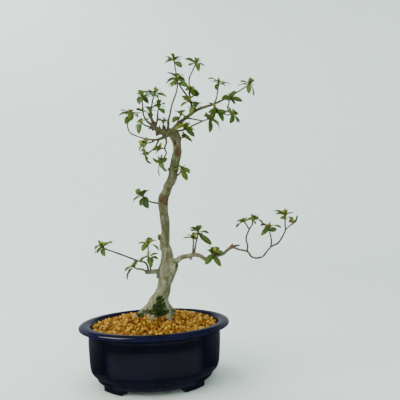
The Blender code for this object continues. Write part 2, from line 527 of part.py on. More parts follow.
def blade(root, tip, face, width, arch, margin=0.0):
    """A leaf: an arched blade with a keel, narrow at its foot, widest past its middle, pointed."""
    heading = (tip - root).normalized()
    face = (face - heading * face.dot(heading)).normalized()
    across = heading.cross(face)
    length = (tip - root).length + margin
    rings = []
    for along, share in ((0.0, 0.18), (0.42, 0.92), (0.74, 0.84)):
        middle = root + heading * (length * along) + face * (arch * 4 * along * (1 - along))
        half = width / 2 * share + margin
        edge = middle + face * (LEAF_THICKNESS / 2 + margin)
        rings.append([edge - across * half, edge + across * half,
                      middle - face * (LEAF_THICKNESS / 2 + margin)])
    vertices, faces = stacked(rings)
    faces.pop(1)
    vertices.append(root + heading * length)
    last = len(vertices) - 1
    faces += [(last - 3 + side, last - 3 + (side + 1) % 3, last) for side in range(3)]
    return vertices, faces


def bud(heart, axis, length, radius):
    """The upright closed bud in a whorl's heart."""
    rings = []
    for along, share in ((-0.2, 0.8), (0.35, 1.0), (1.0, 0.12)):
        side = axis.orthogonal().normalized() * radius * share
        ring = [Matrix.Rotation(math.tau * step / 4, 3, axis) @ side for step in range(4)]
        rings.append([heart + axis * (length * along) + out for out in ring])
    return stacked(rings)


def tree_of(vertices, faces):
    return BVHTree.FromPolygons([Vector(corner) for corner in vertices], faces, epsilon=0.0)


def mesh_tree(made):
    corners = [corner.co / MM for corner in made.data.vertices]
    return BVHTree.FromPolygons(corners, [list(face.vertices) for face in made.data.polygons])


def leaf_tips(heart, drawn, extra, rng):
    """The tips of a whorl's leaves and how their faces turn: those drawn, then those of a rule."""
    x, z, depth = heart
    tips = []
    for tip_x, tip_z, side in drawn:
        flat = math.hypot(tip_x - x, tip_z - z)
        length = max(LEAF_LENGTH * rng.uniform(0.86, 1.06), flat + 1.0)
        away = math.copysign(math.sqrt(length ** 2 - flat ** 2), side)
        tips.append(((tip_x, tip_z, depth + away), FACING if side < -1 else Vector()))
    for index in range(extra):
        angle = math.radians(137.5) * index + rng.uniform(0.0, 1.2)
        flat = rng.uniform(5.0, 9.0)
        length = LEAF_LENGTH * rng.uniform(0.72, 0.92)
        side = 1 if index % 3 != 2 else -1
        tips.append(((x + flat * math.cos(angle), z + flat * math.sin(angle) * 0.8 + 2.0,
                      depth + side * math.sqrt(length ** 2 - flat ** 2)), Vector()))
    return tips


def clear_of(shape, obstacles):
    tree = tree_of(*shape)
    return not any(tree.overlap(other) for other in obstacles)


def fitted_leaf(root, tip, axis, face, rng, obstacles):
    """A leaf that keeps clear of what it doesn't grow from, turned aside where it has to be."""
    width = LEAF_WIDTH * rng.uniform(0.86, 1.1)
    arch = (tip - root).length * rng.uniform(0.05, 0.12)
    sideways = (tip - root).cross(axis).normalized()
    for turn, shrink in ((0, 1), (14, 1), (-14, 1), (26, 0.95), (-26, 0.95), (14, 0.8), (-14, 0.8),
                         (40, 0.85), (-40, 0.85), (26, 0.65), (-26, 0.65)):
        for about in (axis, sideways):
            reach = Matrix.Rotation(math.radians(turn), 3, about) @ ((tip - root) * shrink)
            shape = (root, root + reach, face, width, arch)
            if clear_of(blade(*shape, margin=GAP), obstacles):
                return shape
    return None


def shoot_shapes(name, rng, obstacles):
    """The stem, buds and leaves of a shoot, as closed pieces that sink into each other."""
    start, whorls = SHOOTS[name]
    start = spot(*start)
    hearts = [spot(*whorl[0]) for whorl in whorls]
    way = (hearts[0] - start).normalized()
    lift = 0.6
    radii = [0.85] * (len(hearts) + 1)
    while not clear_of(tube([start + way * lift, *hearts], radii, 5, 0.3), obstacles) and lift < 4:
        lift += 0.2
    path = [start + way * lift, *hearts]
    pieces = [tube(path, radii, 4)]
    for level, (heart, length, drawn, extra) in enumerate(whorls):
        along = hearts[level] - path[level]
        axis = (along.normalized() + Vector((0, 0, 0.8))).normalized()
        step = along.normalized() * min(1.1, 0.28 * along.length)
        if length:
            pieces.append(bud(hearts[level], axis, length, 1.25))
        for index, (tip, facing) in enumerate(leaf_tips(heart, drawn, extra, rng)):
            root = hearts[level] - step * (0.3 + index % 3)
            found = fitted_leaf(root, spot(*tip), axis, axis + facing, rng, obstacles)
            if found:
                pieces.append(blade(*found))
            else:
                print("left out", name, level, index)
    return pieces


def make_shoots(wood, green):
    rng = random.Random(SEED)
    obstacles = [mesh_tree(wood)]
    for name in SHOOTS:
        pieces = shoot_shapes(name, rng, obstacles)
        obstacles += [tree_of(*piece) for piece in pieces]
        stem, *others = [solid("piece", *piece) for piece in pieces]
        combine("shoot_" + name, stem, others, "UNION", green)


def stand_on_middle():
    """Puts the part's origin under the middle of the whole, with the feet at height zero."""
    pieces = [made for made in bpy.context.scene.objects if made.type == "MESH"]
    corners = [corner.co for made in pieces for corner in made.data.vertices]
    middle = [(min(c[axis] for c in corners) + max(c[axis] for c in corners)) / 2 for axis in (0, 1)]
    stand = bpy.data.objects.new("bonsai", None)
    bpy.context.scene.collection.objects.link(stand)
    stand.location = (-middle[0], -middle[1], 0.0)
    for made in pieces:
        made.parent = stand


def main():
    for made in list(bpy.data.objects):
        bpy.data.objects.remove(made)
    glaze = material("cobalt glaze", (0.012, 0.012, 0.045), 0.12)
    earth = material("akadama soil", (0.58, 0.33, 0.1), 0.95)
    bark = material("azalea bark", (0.32, 0.29, 0.2), 0.85)
    green = material("azalea leaf", (0.06, 0.16, 0.03), 0.45)
    plastic = material("mesh plastic", (0.02, 0.02, 0.02), 0.6)
    make_pot(glaze)
    make_screen("drain_screen_left", -DRAIN_OFFSET, plastic)
    make_screen("drain_screen_right", DRAIN_OFFSET, plastic)
    make_soil(root_solids(GAP), earth)
    wood = make_wood(bark)
    make_shoots(wood, green)
    stand_on_middle()


main()
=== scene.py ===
"""Satsuki azalea bonsai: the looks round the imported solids.

Each operator makes one piece, or one group of like pieces, from the drawing that the solids
were made from. The drawing is in millimetres, as the tree is seen from the front: x to the
right, z up, and a depth away from the viewer. Meshes are in metres, in the frame's own place.
"""

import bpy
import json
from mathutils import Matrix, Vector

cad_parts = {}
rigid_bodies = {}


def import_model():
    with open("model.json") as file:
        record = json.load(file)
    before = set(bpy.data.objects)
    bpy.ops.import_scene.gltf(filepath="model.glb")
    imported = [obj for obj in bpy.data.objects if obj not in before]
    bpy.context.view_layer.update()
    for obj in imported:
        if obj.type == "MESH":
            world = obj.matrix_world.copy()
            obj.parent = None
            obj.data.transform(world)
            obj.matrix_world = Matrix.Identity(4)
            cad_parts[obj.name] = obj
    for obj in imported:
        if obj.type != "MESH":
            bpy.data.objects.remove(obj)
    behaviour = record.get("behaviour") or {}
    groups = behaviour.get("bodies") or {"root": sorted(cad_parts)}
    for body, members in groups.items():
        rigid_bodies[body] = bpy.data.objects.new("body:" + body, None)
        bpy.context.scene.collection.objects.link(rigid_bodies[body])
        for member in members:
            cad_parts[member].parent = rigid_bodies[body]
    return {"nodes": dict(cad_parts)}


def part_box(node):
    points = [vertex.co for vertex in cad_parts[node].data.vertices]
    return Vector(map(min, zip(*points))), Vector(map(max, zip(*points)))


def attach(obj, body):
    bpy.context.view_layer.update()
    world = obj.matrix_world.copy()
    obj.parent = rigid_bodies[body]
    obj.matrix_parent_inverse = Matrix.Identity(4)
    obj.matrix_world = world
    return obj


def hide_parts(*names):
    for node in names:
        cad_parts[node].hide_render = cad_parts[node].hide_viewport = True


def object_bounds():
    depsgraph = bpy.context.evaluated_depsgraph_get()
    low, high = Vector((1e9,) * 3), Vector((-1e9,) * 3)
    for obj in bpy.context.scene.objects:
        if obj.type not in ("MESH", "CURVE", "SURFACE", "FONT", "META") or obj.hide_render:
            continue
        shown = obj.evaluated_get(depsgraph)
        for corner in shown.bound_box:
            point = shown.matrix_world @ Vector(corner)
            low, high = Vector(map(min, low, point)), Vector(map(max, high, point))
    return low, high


bl_info = {
    "name": "Satsuki Azalea Bonsai",
    "version": (1, 0, 0),
    "blender": (4, 5, 0),
    "location": "3D View > Sidebar > Bonsai",
    "description": "Glazed pot, granular soil, moss, bark and leafy shoots of a small azalea",
    "category": "Add Mesh",
}

import json
import math
import random

import bmesh
import bpy
from bpy.props import FloatProperty, FloatVectorProperty, IntProperty, PointerProperty
from mathutils import Matrix, Quaternion, Vector, kdtree, noise
from mathutils.bvhtree import BVHTree

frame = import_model()
CAD_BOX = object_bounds()

MM = 0.001

# The pot's middle, on the surface that it stands on
POT_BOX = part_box("pot")
MIDDLE = Vector(((POT_BOX[0].x + POT_BOX[1].x) / 2, (POT_BOX[0].y + POT_BOX[1].y) / 2, 0.0))

# Pot, in millimetres, as the solids have it
LIP_LENGTH = 174.0
LIP_WIDTH = 140.0
FOOT_HEIGHT = 5.5
FLOOR_TOP = 12.0
DRAIN_RADIUS = 6.0
DRAIN_OFFSET = 27.0
OUTSIDE = ((19.8, 5.5), (18.8, 6.4), (18.6, 10.4), (16.6, 11.3), (13.8, 13.6), (12.2, 17.2),
           (11.3, 23.0), (10.5, 34.0), (9.9, 46.0), (9.7, 56.6), (7.4, 59.0), (3.0, 59.8),
           (0.6, 61.0), (0.0, 62.6), (0.7, 64.4), (3.0, 65.6), (6.2, 66.0), (9.6, 65.5),
           (11.6, 64.0), (12.4, 62.0))
INSIDE = ((13.8, 56.0), (14.8, 46.0), (15.4, 32.0), (17.2, 20.0), (21.0, 14.4), (26.5, 12.4),
          (31.5, 12.0))

# The front view that the tree is drawn in: a pane square to the line of sight
EYE = Vector((56.4, -456.0, 172.5))
PANE_REACH = 456.0
PANE_MIDDLE = (55.8, 212.4)
VIEW_PITCH = math.radians(4.2)
VIEW_LEAN = math.radians(1.5)
POT_TURN = math.radians(4.0)

LEAF_LENGTH = 17.0
LEAF_WIDTH = 6.2
FACING = Vector((0.0, -1.6, 0.0))

# How near a leaf's broad middle and its tip may come to the solids' box, and how far a leaf
# may lie from the solid one that it dresses
LEAF_EDGE = 4.2
TIP_EDGE = 2.2
FARTHEST_MATCH = 5.0
SEED = 7

# The trunk as drawn: x, z, depth, radius
TRUNK = ((4, 46, 0, 11), (4, 70, 0, 15), (5, 84, 0, 13.2), (7, 92, -1, 11), (9.4, 98.4, -1, 9.2),
         (12, 105, -2, 8.7), (13.6, 113, -3, 8.3), (15, 127, -4, 8.9), (16.6, 138, -3, 7.8),
         (16.2, 150, 0, 6.4), (13.2, 158, 1, 5.8), (14.2, 175, 2, 5.2), (13.4, 187, 1, 5.8),
         (12, 199, -2, 5.4), (11.9, 213, -4, 6.1), (15.8, 222.6, -5, 5.1), (18, 230, -6, 5.1),
         (22.4, 238, -6, 5.6), (24, 248.4, -5, 5.4), (26, 260, -4, 5.9), (28, 269, -3, 5.2),
         (28.1, 278.4, -2, 4.8), (26, 289, -2, 6.2), (21, 295.6, -2, 5.4))

# Surface roots: x, z, depth, radius
ROOTS = (((5, 92, 0, 7.5), (-5, 83.5, 0, 5.4), (-13, 77.5, -1, 4.2), (-20, 72, -2, 3.2),
          (-27, 65, -3, 2.2)),
         ((11, 90, 0, 7.5), (17, 80, 0, 5.6), (23.5, 73.5, 1, 3.8), (31, 66.5, 2, 2.2)),
         ((7, 88, -3, 6.5), (2.5, 78, -11, 4.8), (-2, 69, -18, 3.2), (-6, 60, -23, 2)),
         ((11, 87, -3, 6), (16, 77, -11, 4.2), (20.5, 67, -17, 2.6), (24, 59, -22, 1.8)),
         ((7, 89, 3, 6.5), (0, 81, 13, 4.6), (-7, 74, 22, 3), (-12, 67, 28, 2)),
         ((11, 89, 3, 6), (20, 81, 13, 4.2), (27, 74, 22, 2.4)))

# Branches and twigs: sides, then x, z, depth, radius at each point
LIMBS = (
    (7, ((14, 126.4, -4, 3.6), (2, 126.6, -7, 2.9), (-10.2, 125.8, -9, 2.6))),
    (5, ((-6, 127, -8, 1.2), (-9, 136.6, -10, 1.1), (-19.3, 139.7, -14, 1.0), (-40, 147.4, -23, 0.95),
         (-58, 153.8, -30, 0.9))),
    (5, ((-3, 127, -7, 1.2), (-4.2, 133, -6, 1.1), (-5.2, 137, -5, 1.0))),
    (5, ((-7, 126, -9, 1.3), (-14, 129.2, -14, 1.1), (-20, 129.6, -18, 0.95))),
    (8, ((15, 140, -3, 5.2), (26, 139, -6, 3.8), (33, 143.4, -8, 2.9), (41.4, 145.2, -10, 2.7),
         (49.8, 146.9, -13, 2.6), (57.4, 144.7, -15, 2.5), (62.6, 141.8, -17, 2.4),
         (73.3, 145.2, -19, 2.2), (83.4, 147.8, -21, 1.9), (90, 154, -22, 1.6),
         (95.4, 160.2, -22, 1.0))),
    (6, ((44, 145.6, -11, 2.0), (45, 140.6, -12, 1.6))),
    (6, ((86, 150, -21, 1.5), (94.8, 155.2, -22, 1.35), (103.3, 152.8, -23, 1.3),
         (112.4, 150.7, -23, 1.3), (117.6, 144.4, -22, 1.2), (124, 142.8, -21, 1.15),
         (130.8, 144.6, -20, 1.1), (135.5, 150, -20, 1.1), (141, 156.7, -21, 1.1))),
    (5, ((112.4, 150.7, -23, 1.1), (113, 157.2, -24, 1.05), (111.4, 163.6, -24, 1.0),
         (111.6, 169, -23, 1.0), (115.3, 178, -22, 0.95))),
    (5, ((114.8, 177, -22, 0.9), (112.4, 181.4, -26, 0.8))),
    (5, ((115.3, 178, -22, 0.9), (118.6, 182.8, -18, 0.8))),
    (5, ((140.6, 156.2, -21, 1.0), (141.7, 162, -24, 0.95), (140.6, 168.7, -26, 0.9),
         (139.6, 173.4, -27, 0.9))),
    (5, ((140.6, 156.2, -21, 1.0), (149.2, 160.8, -18, 1.0), (153.8, 167, -16, 0.95),
         (157.2, 173.4, -14, 0.9), (158.2, 176.8, -13, 0.9), (157.9, 184, -12, 0.85))),
    (5, ((158.2, 176.4, -13, 0.85), (161.9, 180.2, -17, 0.8), (165.6, 182.8, -20, 0.8))),
    (5, ((47.2, 146.6, -12, 1.2), (47.4, 154, -15, 1.0), (48, 161, -17, 0.9))),
    (5, ((48.6, 146.8, -13, 1.3), (50, 155, -10, 1.1), (51.6, 163.9, -6, 1.0), (52.8, 167.6, -4, 0.95))),
    (8, ((22, 294, -2, 3.6), (27.6, 301.6, -1, 2.7), (37.3, 309.6, 2, 2.3), (49, 318.5, 6, 2.0),
         (57, 322.4, 9, 1.8), (72.6, 327.6, 14, 1.5), (84, 333, 17, 1.3), (96, 339, 20, 1.1))),
    (5, ((72, 327.4, 14, 1.1), (75, 333, 18, 1.0), (77, 342, 23, 0.9))),
    (5, ((90, 335.9, 18, 1.0), (90.6, 329.6, 13, 0.9), (88.6, 322.4, 8, 0.9))),
    (5, ((72, 327.3, 14, 1.0), (73.6, 324, 9, 0.9))),
    (5, ((23, 296.8, -3, 1.6), (31, 295.6, -7, 1.3), (41, 298.6, -8, 1.1), (50, 303.2, -9, 1.0),
         (59, 307, -10, 0.9))),
    (5, ((36, 296.4, -7, 1.0), (36.2, 296.2, -11, 0.9))),
    (5, ((47, 317, 5, 1.5), (44.6, 330.4, 6, 1.25), (36.8, 342, 4, 1.1), (31.6, 349.6, 0, 1.0))),
    (5, ((44.9, 328.4, 6, 1.15), (43, 338.6, 8, 1.05), (42.8, 349, 11, 0.95), (43.2, 359, 14, 0.9),
         (47.6, 369, 16, 0.85))),
    (5, ((40, 310.8, 1.4, 1.3), (47, 309.6, -4, 1.0), (54.6, 308.2, -8, 0.9), (59.4, 307.2, -10, 0.9))),
    (5, ((73.6, 324.4, 9.4, 0.9), (80.4, 317.7, 8, 0.85), (88.4, 314.4, 7, 0.8))),
    (5, ((71, 327.6, 13.6, 1.0), (66.4, 329.2, 11, 0.8))),
    (5, ((17.6, 296.6, -1, 1.9), (18, 307.4, 2, 1.3), (19.8, 316, 4, 1.15), (22.2, 327, 6, 1.0),
         (26.5, 338.6, 8, 0.95), (28.6, 347.6, 9, 0.9))),
    (8, ((22, 294.4, -2, 4.6), (11.4, 293.6, -3, 3.9), (3, 298, -5, 3.2), (-2.3, 302.6, -7, 2.5))),
    (5, ((0.4, 299.6, -6, 1.9), (2.6, 306.2, -7, 1.3))),
    (5, ((-1.6, 302, -7, 1.8), (-8.4, 307.6, -9, 1.2), (-11.2, 312.4, -10, 1.0))),
    (5, ((0, 301.4, -6, 1.4), (-3, 309.6, -13, 1.0))),
    (5, ((2, 299.6, -5, 1.6), (4.4, 308.6, 0, 1.1), (5.2, 317, 4, 1.0))),
    (5, ((2.8, 302.4, -4, 1.2), (-2.2, 312, 6, 1.0), (-2.4, 323, 11, 0.95), (-1, 332.2, 13, 0.9))),
    (5, ((0.6, 300, -6, 1.4), (-5, 300.2, -11, 1.1), (-9.6, 301.8, -14, 1.0))),
    (5, ((11.6, 294, -3, 1.6), (11.4, 301.4, 1, 1.0))),
    (6, ((19.4, 292.6, -2, 3.6), (11.9, 287.4, -1, 2.2), (1.4, 284.6, 2, 1.4), (-12.6, 286.6, 6, 1.1),
         (-23.6, 290.6, 9, 1.05), (-28.4, 293.6, 10, 1.0), (-31, 300, 11, 1.0), (-31, 307.6, 12, 0.9))),
    (5, ((3, 285, 1, 1.1), (-3, 281.6, -6, 0.95), (-7, 280.8, -9, 0.9))),
    (5, ((7.4, 286.6, 0, 1.2), (2, 276, 4, 1.0), (-4.6, 269.6, 8, 0.9))),
    (5, ((14, 290, -1, 1.7), (15.4, 281.3, -8, 1.15), (13.6, 275.2, -10, 1.05), (15.6, 268.6, -11, 0.95))),
    (5, ((23.6, 241, -6, 1.8), (29.6, 242.6, -9, 1.1), (32, 245.6, -10, 0.95))),
    (5, ((12, 208.3, -3, 2.0), (5, 208.6, -6, 1.2), (-3.7, 210.2, -9, 1.0), (-8, 212.4, -11, 0.9))),
    (5, ((27, 287, -3, 1.6), (34, 287.4, -8, 0.9))),
    (7, ((13, 165, 2, 4.6), (8.6, 167.4, 0, 4.1), (5.8, 167.6, -1, 3.5))),
    (7, ((12.4, 212.6, -4, 5.2), (9.4, 214, -8, 3.6), (8.4, 214.4, -10, 2.0))),
    (5, ((28, 270, -3, 3.4), (33.6, 270.4, -5, 1.8))),
    (5, ((14, 122, -3, 5.0), (7, 121, -5, 3.0), (3.8, 120.8, -5, 2.4))),
    (8, ((15, 116, -3, 8.0), (18.5, 124, -4, 8.0), (22.8, 132, -5, 7.0), (26.5, 137, -6, 4.6))),
    (5, ((7, 292.6, -3, 2.0), (3.4, 290, -5, 1.4))),
    (5, ((1.6, 298.8, -5, 1.8), (-1.6, 296.2, -7, 1.3))),
)

# Shoots: where the stem leaves the wood (x, z, depth), the whorls up the stem, each with
# its heart (x, z, depth), its bud's length, the leaf tips as drawn (x, z, side), where
# side is 1 for a leaf that reaches away, -1 for one that reaches towards the viewer and
# -2 for one that also turns its face there, and the number of further leaves that a rule
# turns to the front and back
SHOOTS = {
    "apex": ((28.6, 347.6, 9), (
        ((28, 358.6, 10), 0, ((15.8, 365.9, -1), (13.6, 352.2, -1), (22.7, 366.5, 1), (31.2, 365.6, 1),
                              (42, 355, -2)), 2),
        ((24.6, 379.6, 12), 9, ((12.1, 377, -1), (38.2, 369, -2), (30.6, 384.6, 1)), 2))),
    "below_apex": ((31.6, 349.6, 0), (
        ((28.4, 354.6, -4), 4, ((21.6, 348.4, -2), (17.4, 350, 1), (40.6, 349.6, -1), (36, 363, 1)), 1),)),
    "upper_right": ((47.6, 369, 16), (
        ((50.4, 376.3, 17), 6, ((37.4, 382.1, -1), (38.2, 373.7, -2), (64.9, 372.5, -1),
                                (54.2, 368.8, -2), (51.6, 385.2, 1)), 1),)),
    "under_upper": ((43.4, 339.4, 8), (
        ((44.8, 343.6, 4), 5, ((55.7, 339.6, -1), (55.2, 331.6, -2), (51.2, 335, -2)), 1),)),
    "small_bright": ((45.4, 328.8, 6.5), (
        ((42.2, 330.6, 3), 2, ((30.4, 336.2, -1),), 0),)),
    "fork": ((50, 319, 6), (
        ((50.6, 324.8, 5), 4, ((39.2, 314, -2), (57, 328, -2), (44.8, 331.8, 1), (52.6, 334, 1)), 2),)),
    "upper_back": ((77, 342, 23), (
        ((78, 352.4, 25), 8, ((65.6, 358.6, 1), (93, 351.7, -1), (85.2, 351, -2), (75.4, 344.6, -2)),
         1),)),
    "branch_tip": ((96, 339, 20), (
        ((114.1, 350.3, 23), 5, ((104.5, 355.9, 1), (101.6, 350, -1), (119.5, 359.6, 1),
                                 (130.2, 345.8, -1), (121.9, 337.8, -1), (114.6, 341.8, -2)), 1),)),
    "branch_bud": ((91, 336.5, 18.5), (
        ((91.8, 334.2, 14), 4, ((98.9, 343, -2), (106.2, 331.7, -2), (82.7, 334.6, -1),
                                (81.7, 325.8, -1)), 0),)),
    "under_branch": ((73.6, 324, 9), (
        ((74.4, 319.4, 7), 4, ((87.1, 318, -1), (84.2, 307.7, -1), (64.8, 319.4, -1), (71, 328, 1)), 1),)),
    "right_of_branch": ((88.4, 314.4, 7), (
        ((94.2, 314.8, 6), 4, ((92, 305, -2), (102.8, 305.2, -1), (101.4, 315.8, 1), (88.4, 319.4, 1)),
         1),)),
    "right_hanging": ((59.4, 307.2, -10), (
        ((66.6, 309.8, -11), 4, ((67.6, 293.5, -2), (79.3, 304.7, -1), (81.7, 296.4, -1),
                                 (58.4, 311, -2), (73, 316, 1), (63, 318.4, 1)), 1),)),
    "beside_crown": ((36.2, 296.2, -11), (
        ((36.6, 299.4, -14), 4, ((49.2, 289.3, -2), (28.4, 306, 1), (44.2, 307.4, -1)), 1),)),
    "crown_side": ((34, 287.4, -8), (
        ((36.4, 287.4, -10), 0, ((44.4, 285.4, 1), (41.6, 289.4, -1)), 0),)),
    "over_crown": ((28, 304, -0.5), (
        ((32.6, 314.4, -2), 3, ((26.6, 319.4, 1), (37.4, 320.6, 1), (22.8, 306.5, -1),
                                (37.6, 311.6, -1)), 0),)),
    "left_outer": ((-31, 307.6, 12), (
        ((-28.8, 316, 13), 5, ((-42.6, 313.3, -1), (-38.4, 321, 1), (-26.8, 326, 1), (-22.6, 324.2, -1),
                               (-18.8, 313.7, -1), (-33.8, 303.7, -2), (-26.6, 309.4, -1)), 1),)),
    "left_tall": ((-11.2, 312.4, -10), (
        ((-12.4, 317.4, -11), 0, ((-22.8, 319.8, -2),), 0),
        ((-13.9, 337.1, -12), 4, ((-16.8, 327.6, -2), (-20.8, 340.6, -1), (-15.8, 345, 1),
                                  (-2.4, 326.8, -2)), 1))),
    "top_cone": ((-1, 332.2, 13), (
        ((1.2, 339.4, 14), 10, ((16.3, 336.2, -1), (-12.7, 342.8, 1), (-11.2, 338.2, -1)), 3),)),
    "left_heart": ((5.2, 317, 4), (
        ((6, 323.4, 5), 5, ((13, 328, 1), (7.8, 333.4, 1), (12.8, 317.8, -1), (-2.4, 326, -1)), 1),)),
    "left_middle": ((-3, 309.6, -13), (
        ((-4.6, 318.8, -16), 4, ((-9.4, 324.4, -1), (-0.4, 328, -2), (-4.4, 311, -1)), 1),)),
    "left_low": ((-9.6, 301.8, -14), (
        ((-14.2, 304.8, -16), 2, ((-18.1, 292.6, -2), (-17, 309.6, 1)), 0),)),
    "crown_twig": ((11.4, 301.4, 1), (
        ((11.6, 305, 2), 3, ((17, 308.4, -1), (6.4, 309.4, 1)), 0),)),
    "inner_left": ((-7, 280.8, -9), (
        ((-10.8, 280.6, -11), 3, ((-12.8, 272.8, -2), (-8, 273.4, -1), (-17.4, 275.4, 1)), 1),)),
    "inner_low": ((-4.6, 269.6, 8), (
        ((-9.6, 268.6, 10), 4, ((-17.4, 264, -1), (-11.6, 263, -2), (-13.4, 274.6, 1), (-4, 255.6, -1)),
         0),)),
    "inner_leaf": ((13.6, 275.2, -10), (
        ((9.6, 273.8, -11), 0, ((-0.4, 273, -1),), 0),)),
    "beside_trunk": ((15.6, 268.6, -11), (
        ((10.2, 258.6, -13), 4, ((-2, 261.6, -1), (6.8, 266.4, 1), (12.2, 250.6, -2), (2, 252, -1),
                                 (6.6, 240.4, -1), (15.8, 246.8, -1)), 1),)),
    "trunk_right": ((32, 245.6, -10), (
        ((33.4, 248.6, -12), 4, ((40.4, 236.6, -2), (43.4, 246, -1), (40.6, 254.6, -1)), 1),)),
    "far_left": ((-58, 153.8, -30), (
        ((-61.6, 156.8, -32), 5, ((-62.8, 166.6, -2), (-70.4, 154.4, -1), (-49.8, 161.8, -1),
                                  (-48.2, 155.2, 1), (-58.4, 145, -2), (-70.6, 148.8, 1)), 0),)),
    "stub_upright": ((-5.2, 137, -5), (
        ((-6.2, 143.6, -5), 0, ((-18.8, 139.2, -1), (-2.2, 133.2, -2), (3, 136, -1), (-7.6, 133.8, -2),
                                (5.4, 142, 1)), 0),
        ((-6.6, 159.4, -5), 5, ((-13.4, 152.6, -2), (7.3, 153.2, -1), (-4, 168, 1)), 1))),
    "stub_forward": ((-20, 129.6, -18), (
        ((-23.2, 131.8, -20), 3, ((-19, 139.4, -2), (-28.4, 135, -1), (-34.6, 128, -1),
                                  (-32.3, 116.6, -1)), 0),)),
    "left_side": ((-8, 212.4, -11), (
        ((-14, 217, -13), 5, ((-20.4, 226, 1), (-21.4, 222.6, -1), (-8.4, 226, -1), (-3, 212.6, -1),
                              (-6.4, 202.6, -2), (-18.6, 202, -2), (-26, 208.8, -1)), 1),)),
    "right_upright": ((52.8, 167.6, -4), (
        ((53.4, 174.6, -3), 6, ((41.4, 178.6, -1), (42.4, 172.6, 1), (69.8, 159.5, -2), (58.4, 160, -1),
                                (66.4, 173.4, 1), (55.6, 183, -1)), 0),)),
    "right_twin": ((48, 161, -17), (
        ((47.6, 165.8, -18), 3, ((36, 167.4, -1), (50.4, 175, 1), (42, 172, -1)), 0),)),
    "right_hanging_low": ((66, 142.8, -17.6), (
        ((70.8, 148, -23), 4, ((62.8, 135.8, -2), (80.8, 133, -2), (84.4, 148.6, -1), (66.4, 157.4, -1),
                               (78.4, 156.4, 1), (62.6, 150, -2)), 1),)),
    "right_left_twin": ((112.4, 181.4, -26), (
        ((109.2, 186, -28), 2, ((99.6, 179.8, -1), (117.4, 189.4, 1), (103.4, 190, -1)), 0),)),
    "right_right_twin": ((118.6, 182.8, -18), (
        ((119, 187.8, -16), 3, ((127.4, 187, -2), (131.4, 186.2, 1), (120, 195.4, 1)), 0),)),
    "right_middle": ((139.6, 173.4, -27), (
        ((139.4, 179.6, -28), 6, ((128.8, 182.2, -1), (130, 171.4, -2), (151.2, 175.6, -2),
                                  (153, 180.4, 1), (130, 178, 1)), 0),)),
    "right_top": ((157.9, 184, -12), (
        ((157.8, 193, -11), 9, ((143.6, 199.8, -1), (150.4, 189, -2), (170.8, 191, -1),
                                (162.4, 197, 1)), 1),)),
    "right_last": ((165.6, 182.8, -20), (
        ((169.4, 186.2, -22), 3, ((163, 185.8, -1), (176, 186, -1), (172.6, 193, -2)), 0),)),
}

# Short dead spurs, left by pruning: x, z, depth, radius at each point
SPURS = (((2, 301, -8, 1.3), (0.5, 305, -11, 0.8)), ((-1, 299.4, -7, 1.2), (-5.5, 297.5, -10, 0.9)),
         ((5, 296, -7, 1.3), (3, 292, -10, 0.9)), ((8, 297, -6, 1.4), (7.2, 301.6, -10, 0.9)),
         ((14, 297, -6, 1.5), (13.4, 302, -9, 1.0)), ((0, 303, -8, 1.3), (-6, 305, -8, 0.7)),
         ((28, 287, -4, 2.4), (32.8, 284.4, -6, 1.5)), ((92, 155.6, -22, 1.4), (98, 157.6, -22, 1.2),
                                                        (103.6, 158, -22, 0.9)),
         ((20, 250, -5, 2.2), (17.6, 248.8, -8, 1.3)), ((17.4, 232, -6, 2.0), (14.6, 233, -8, 1.2)))


def to_linear(value):
    return value / 12.92 if value <= 0.04045 else ((value + 0.055) / 1.055) ** 2.4


def colour(code, alpha=True):
    """An sRGB hex value as the linear colour that a shader takes."""
    channels = [to_linear(int(code[place:place + 2], 16) / 255) for place in (1, 3, 5)]
    return (*channels, 1.0) if alpha else tuple(channels)


def shade_property(name, code, description):
    return FloatVectorProperty(name=name, description=description, default=colour(code, False),
                               subtype="COLOR", size=3, min=0.0, max=1.0)


class BonsaiPot(bpy.types.PropertyGroup):
    """The glazed pot and what lies in its floor."""
    sides: IntProperty(name="Sides", description="Steps round the pot's oval", default=144, min=24)
    rings: IntProperty(name="Rings per step", default=4, min=1,
                       description="Rings between two points of the pot's profile")
    mesh_cell: FloatProperty(name="Mesh cell", description="Opening of the drain mesh",
                             default=0.0022, unit="LENGTH")
    mesh_bar: FloatProperty(name="Mesh bar", description="Thickness of the drain mesh's bars",
                            default=0.0008, unit="LENGTH")
    glaze: shade_property("Glaze", "#06060f", "Cobalt glaze at its usual thickness")
    thin_glaze: shade_property("Thin glaze", "#15183a", "Glaze where it runs thin over an edge")
    clay: shade_property("Clay", "#4a3428", "Bare stoneware under the feet")


class BonsaiSoil(bpy.types.PropertyGroup):
    """Granules and moss."""
    granule: FloatProperty(name="Granule", description="Usual size of a granule",
                           default=0.0038, unit="LENGTH")
    granule_gap: FloatProperty(name="Granule spacing", default=0.0035, unit="LENGTH",
                               description="Least distance between two granules' middles")
    tuft: FloatProperty(name="Moss tuft", description="Height of a moss tuft",
                        default=0.0021, unit="LENGTH")
    golden: shade_property("Golden granule", "#8c5a04", "The usual colour of the granules")
    pale: shade_property("Pale granule", "#bb9030", "Drier granules")
    fired: shade_property("Fired granule", "#5c2a04", "Harder fired, redder granules")
    # Soil seen between the granules: dark as wet soil is, and darker still as painted shade of the gaps
    damp_and_gap_shade: shade_property("Damp soil and painted gap shade", "#170b01", "Between and under the granules")
    moss: shade_property("Moss", "#2c470f", "Moss at the foot of the trunk")


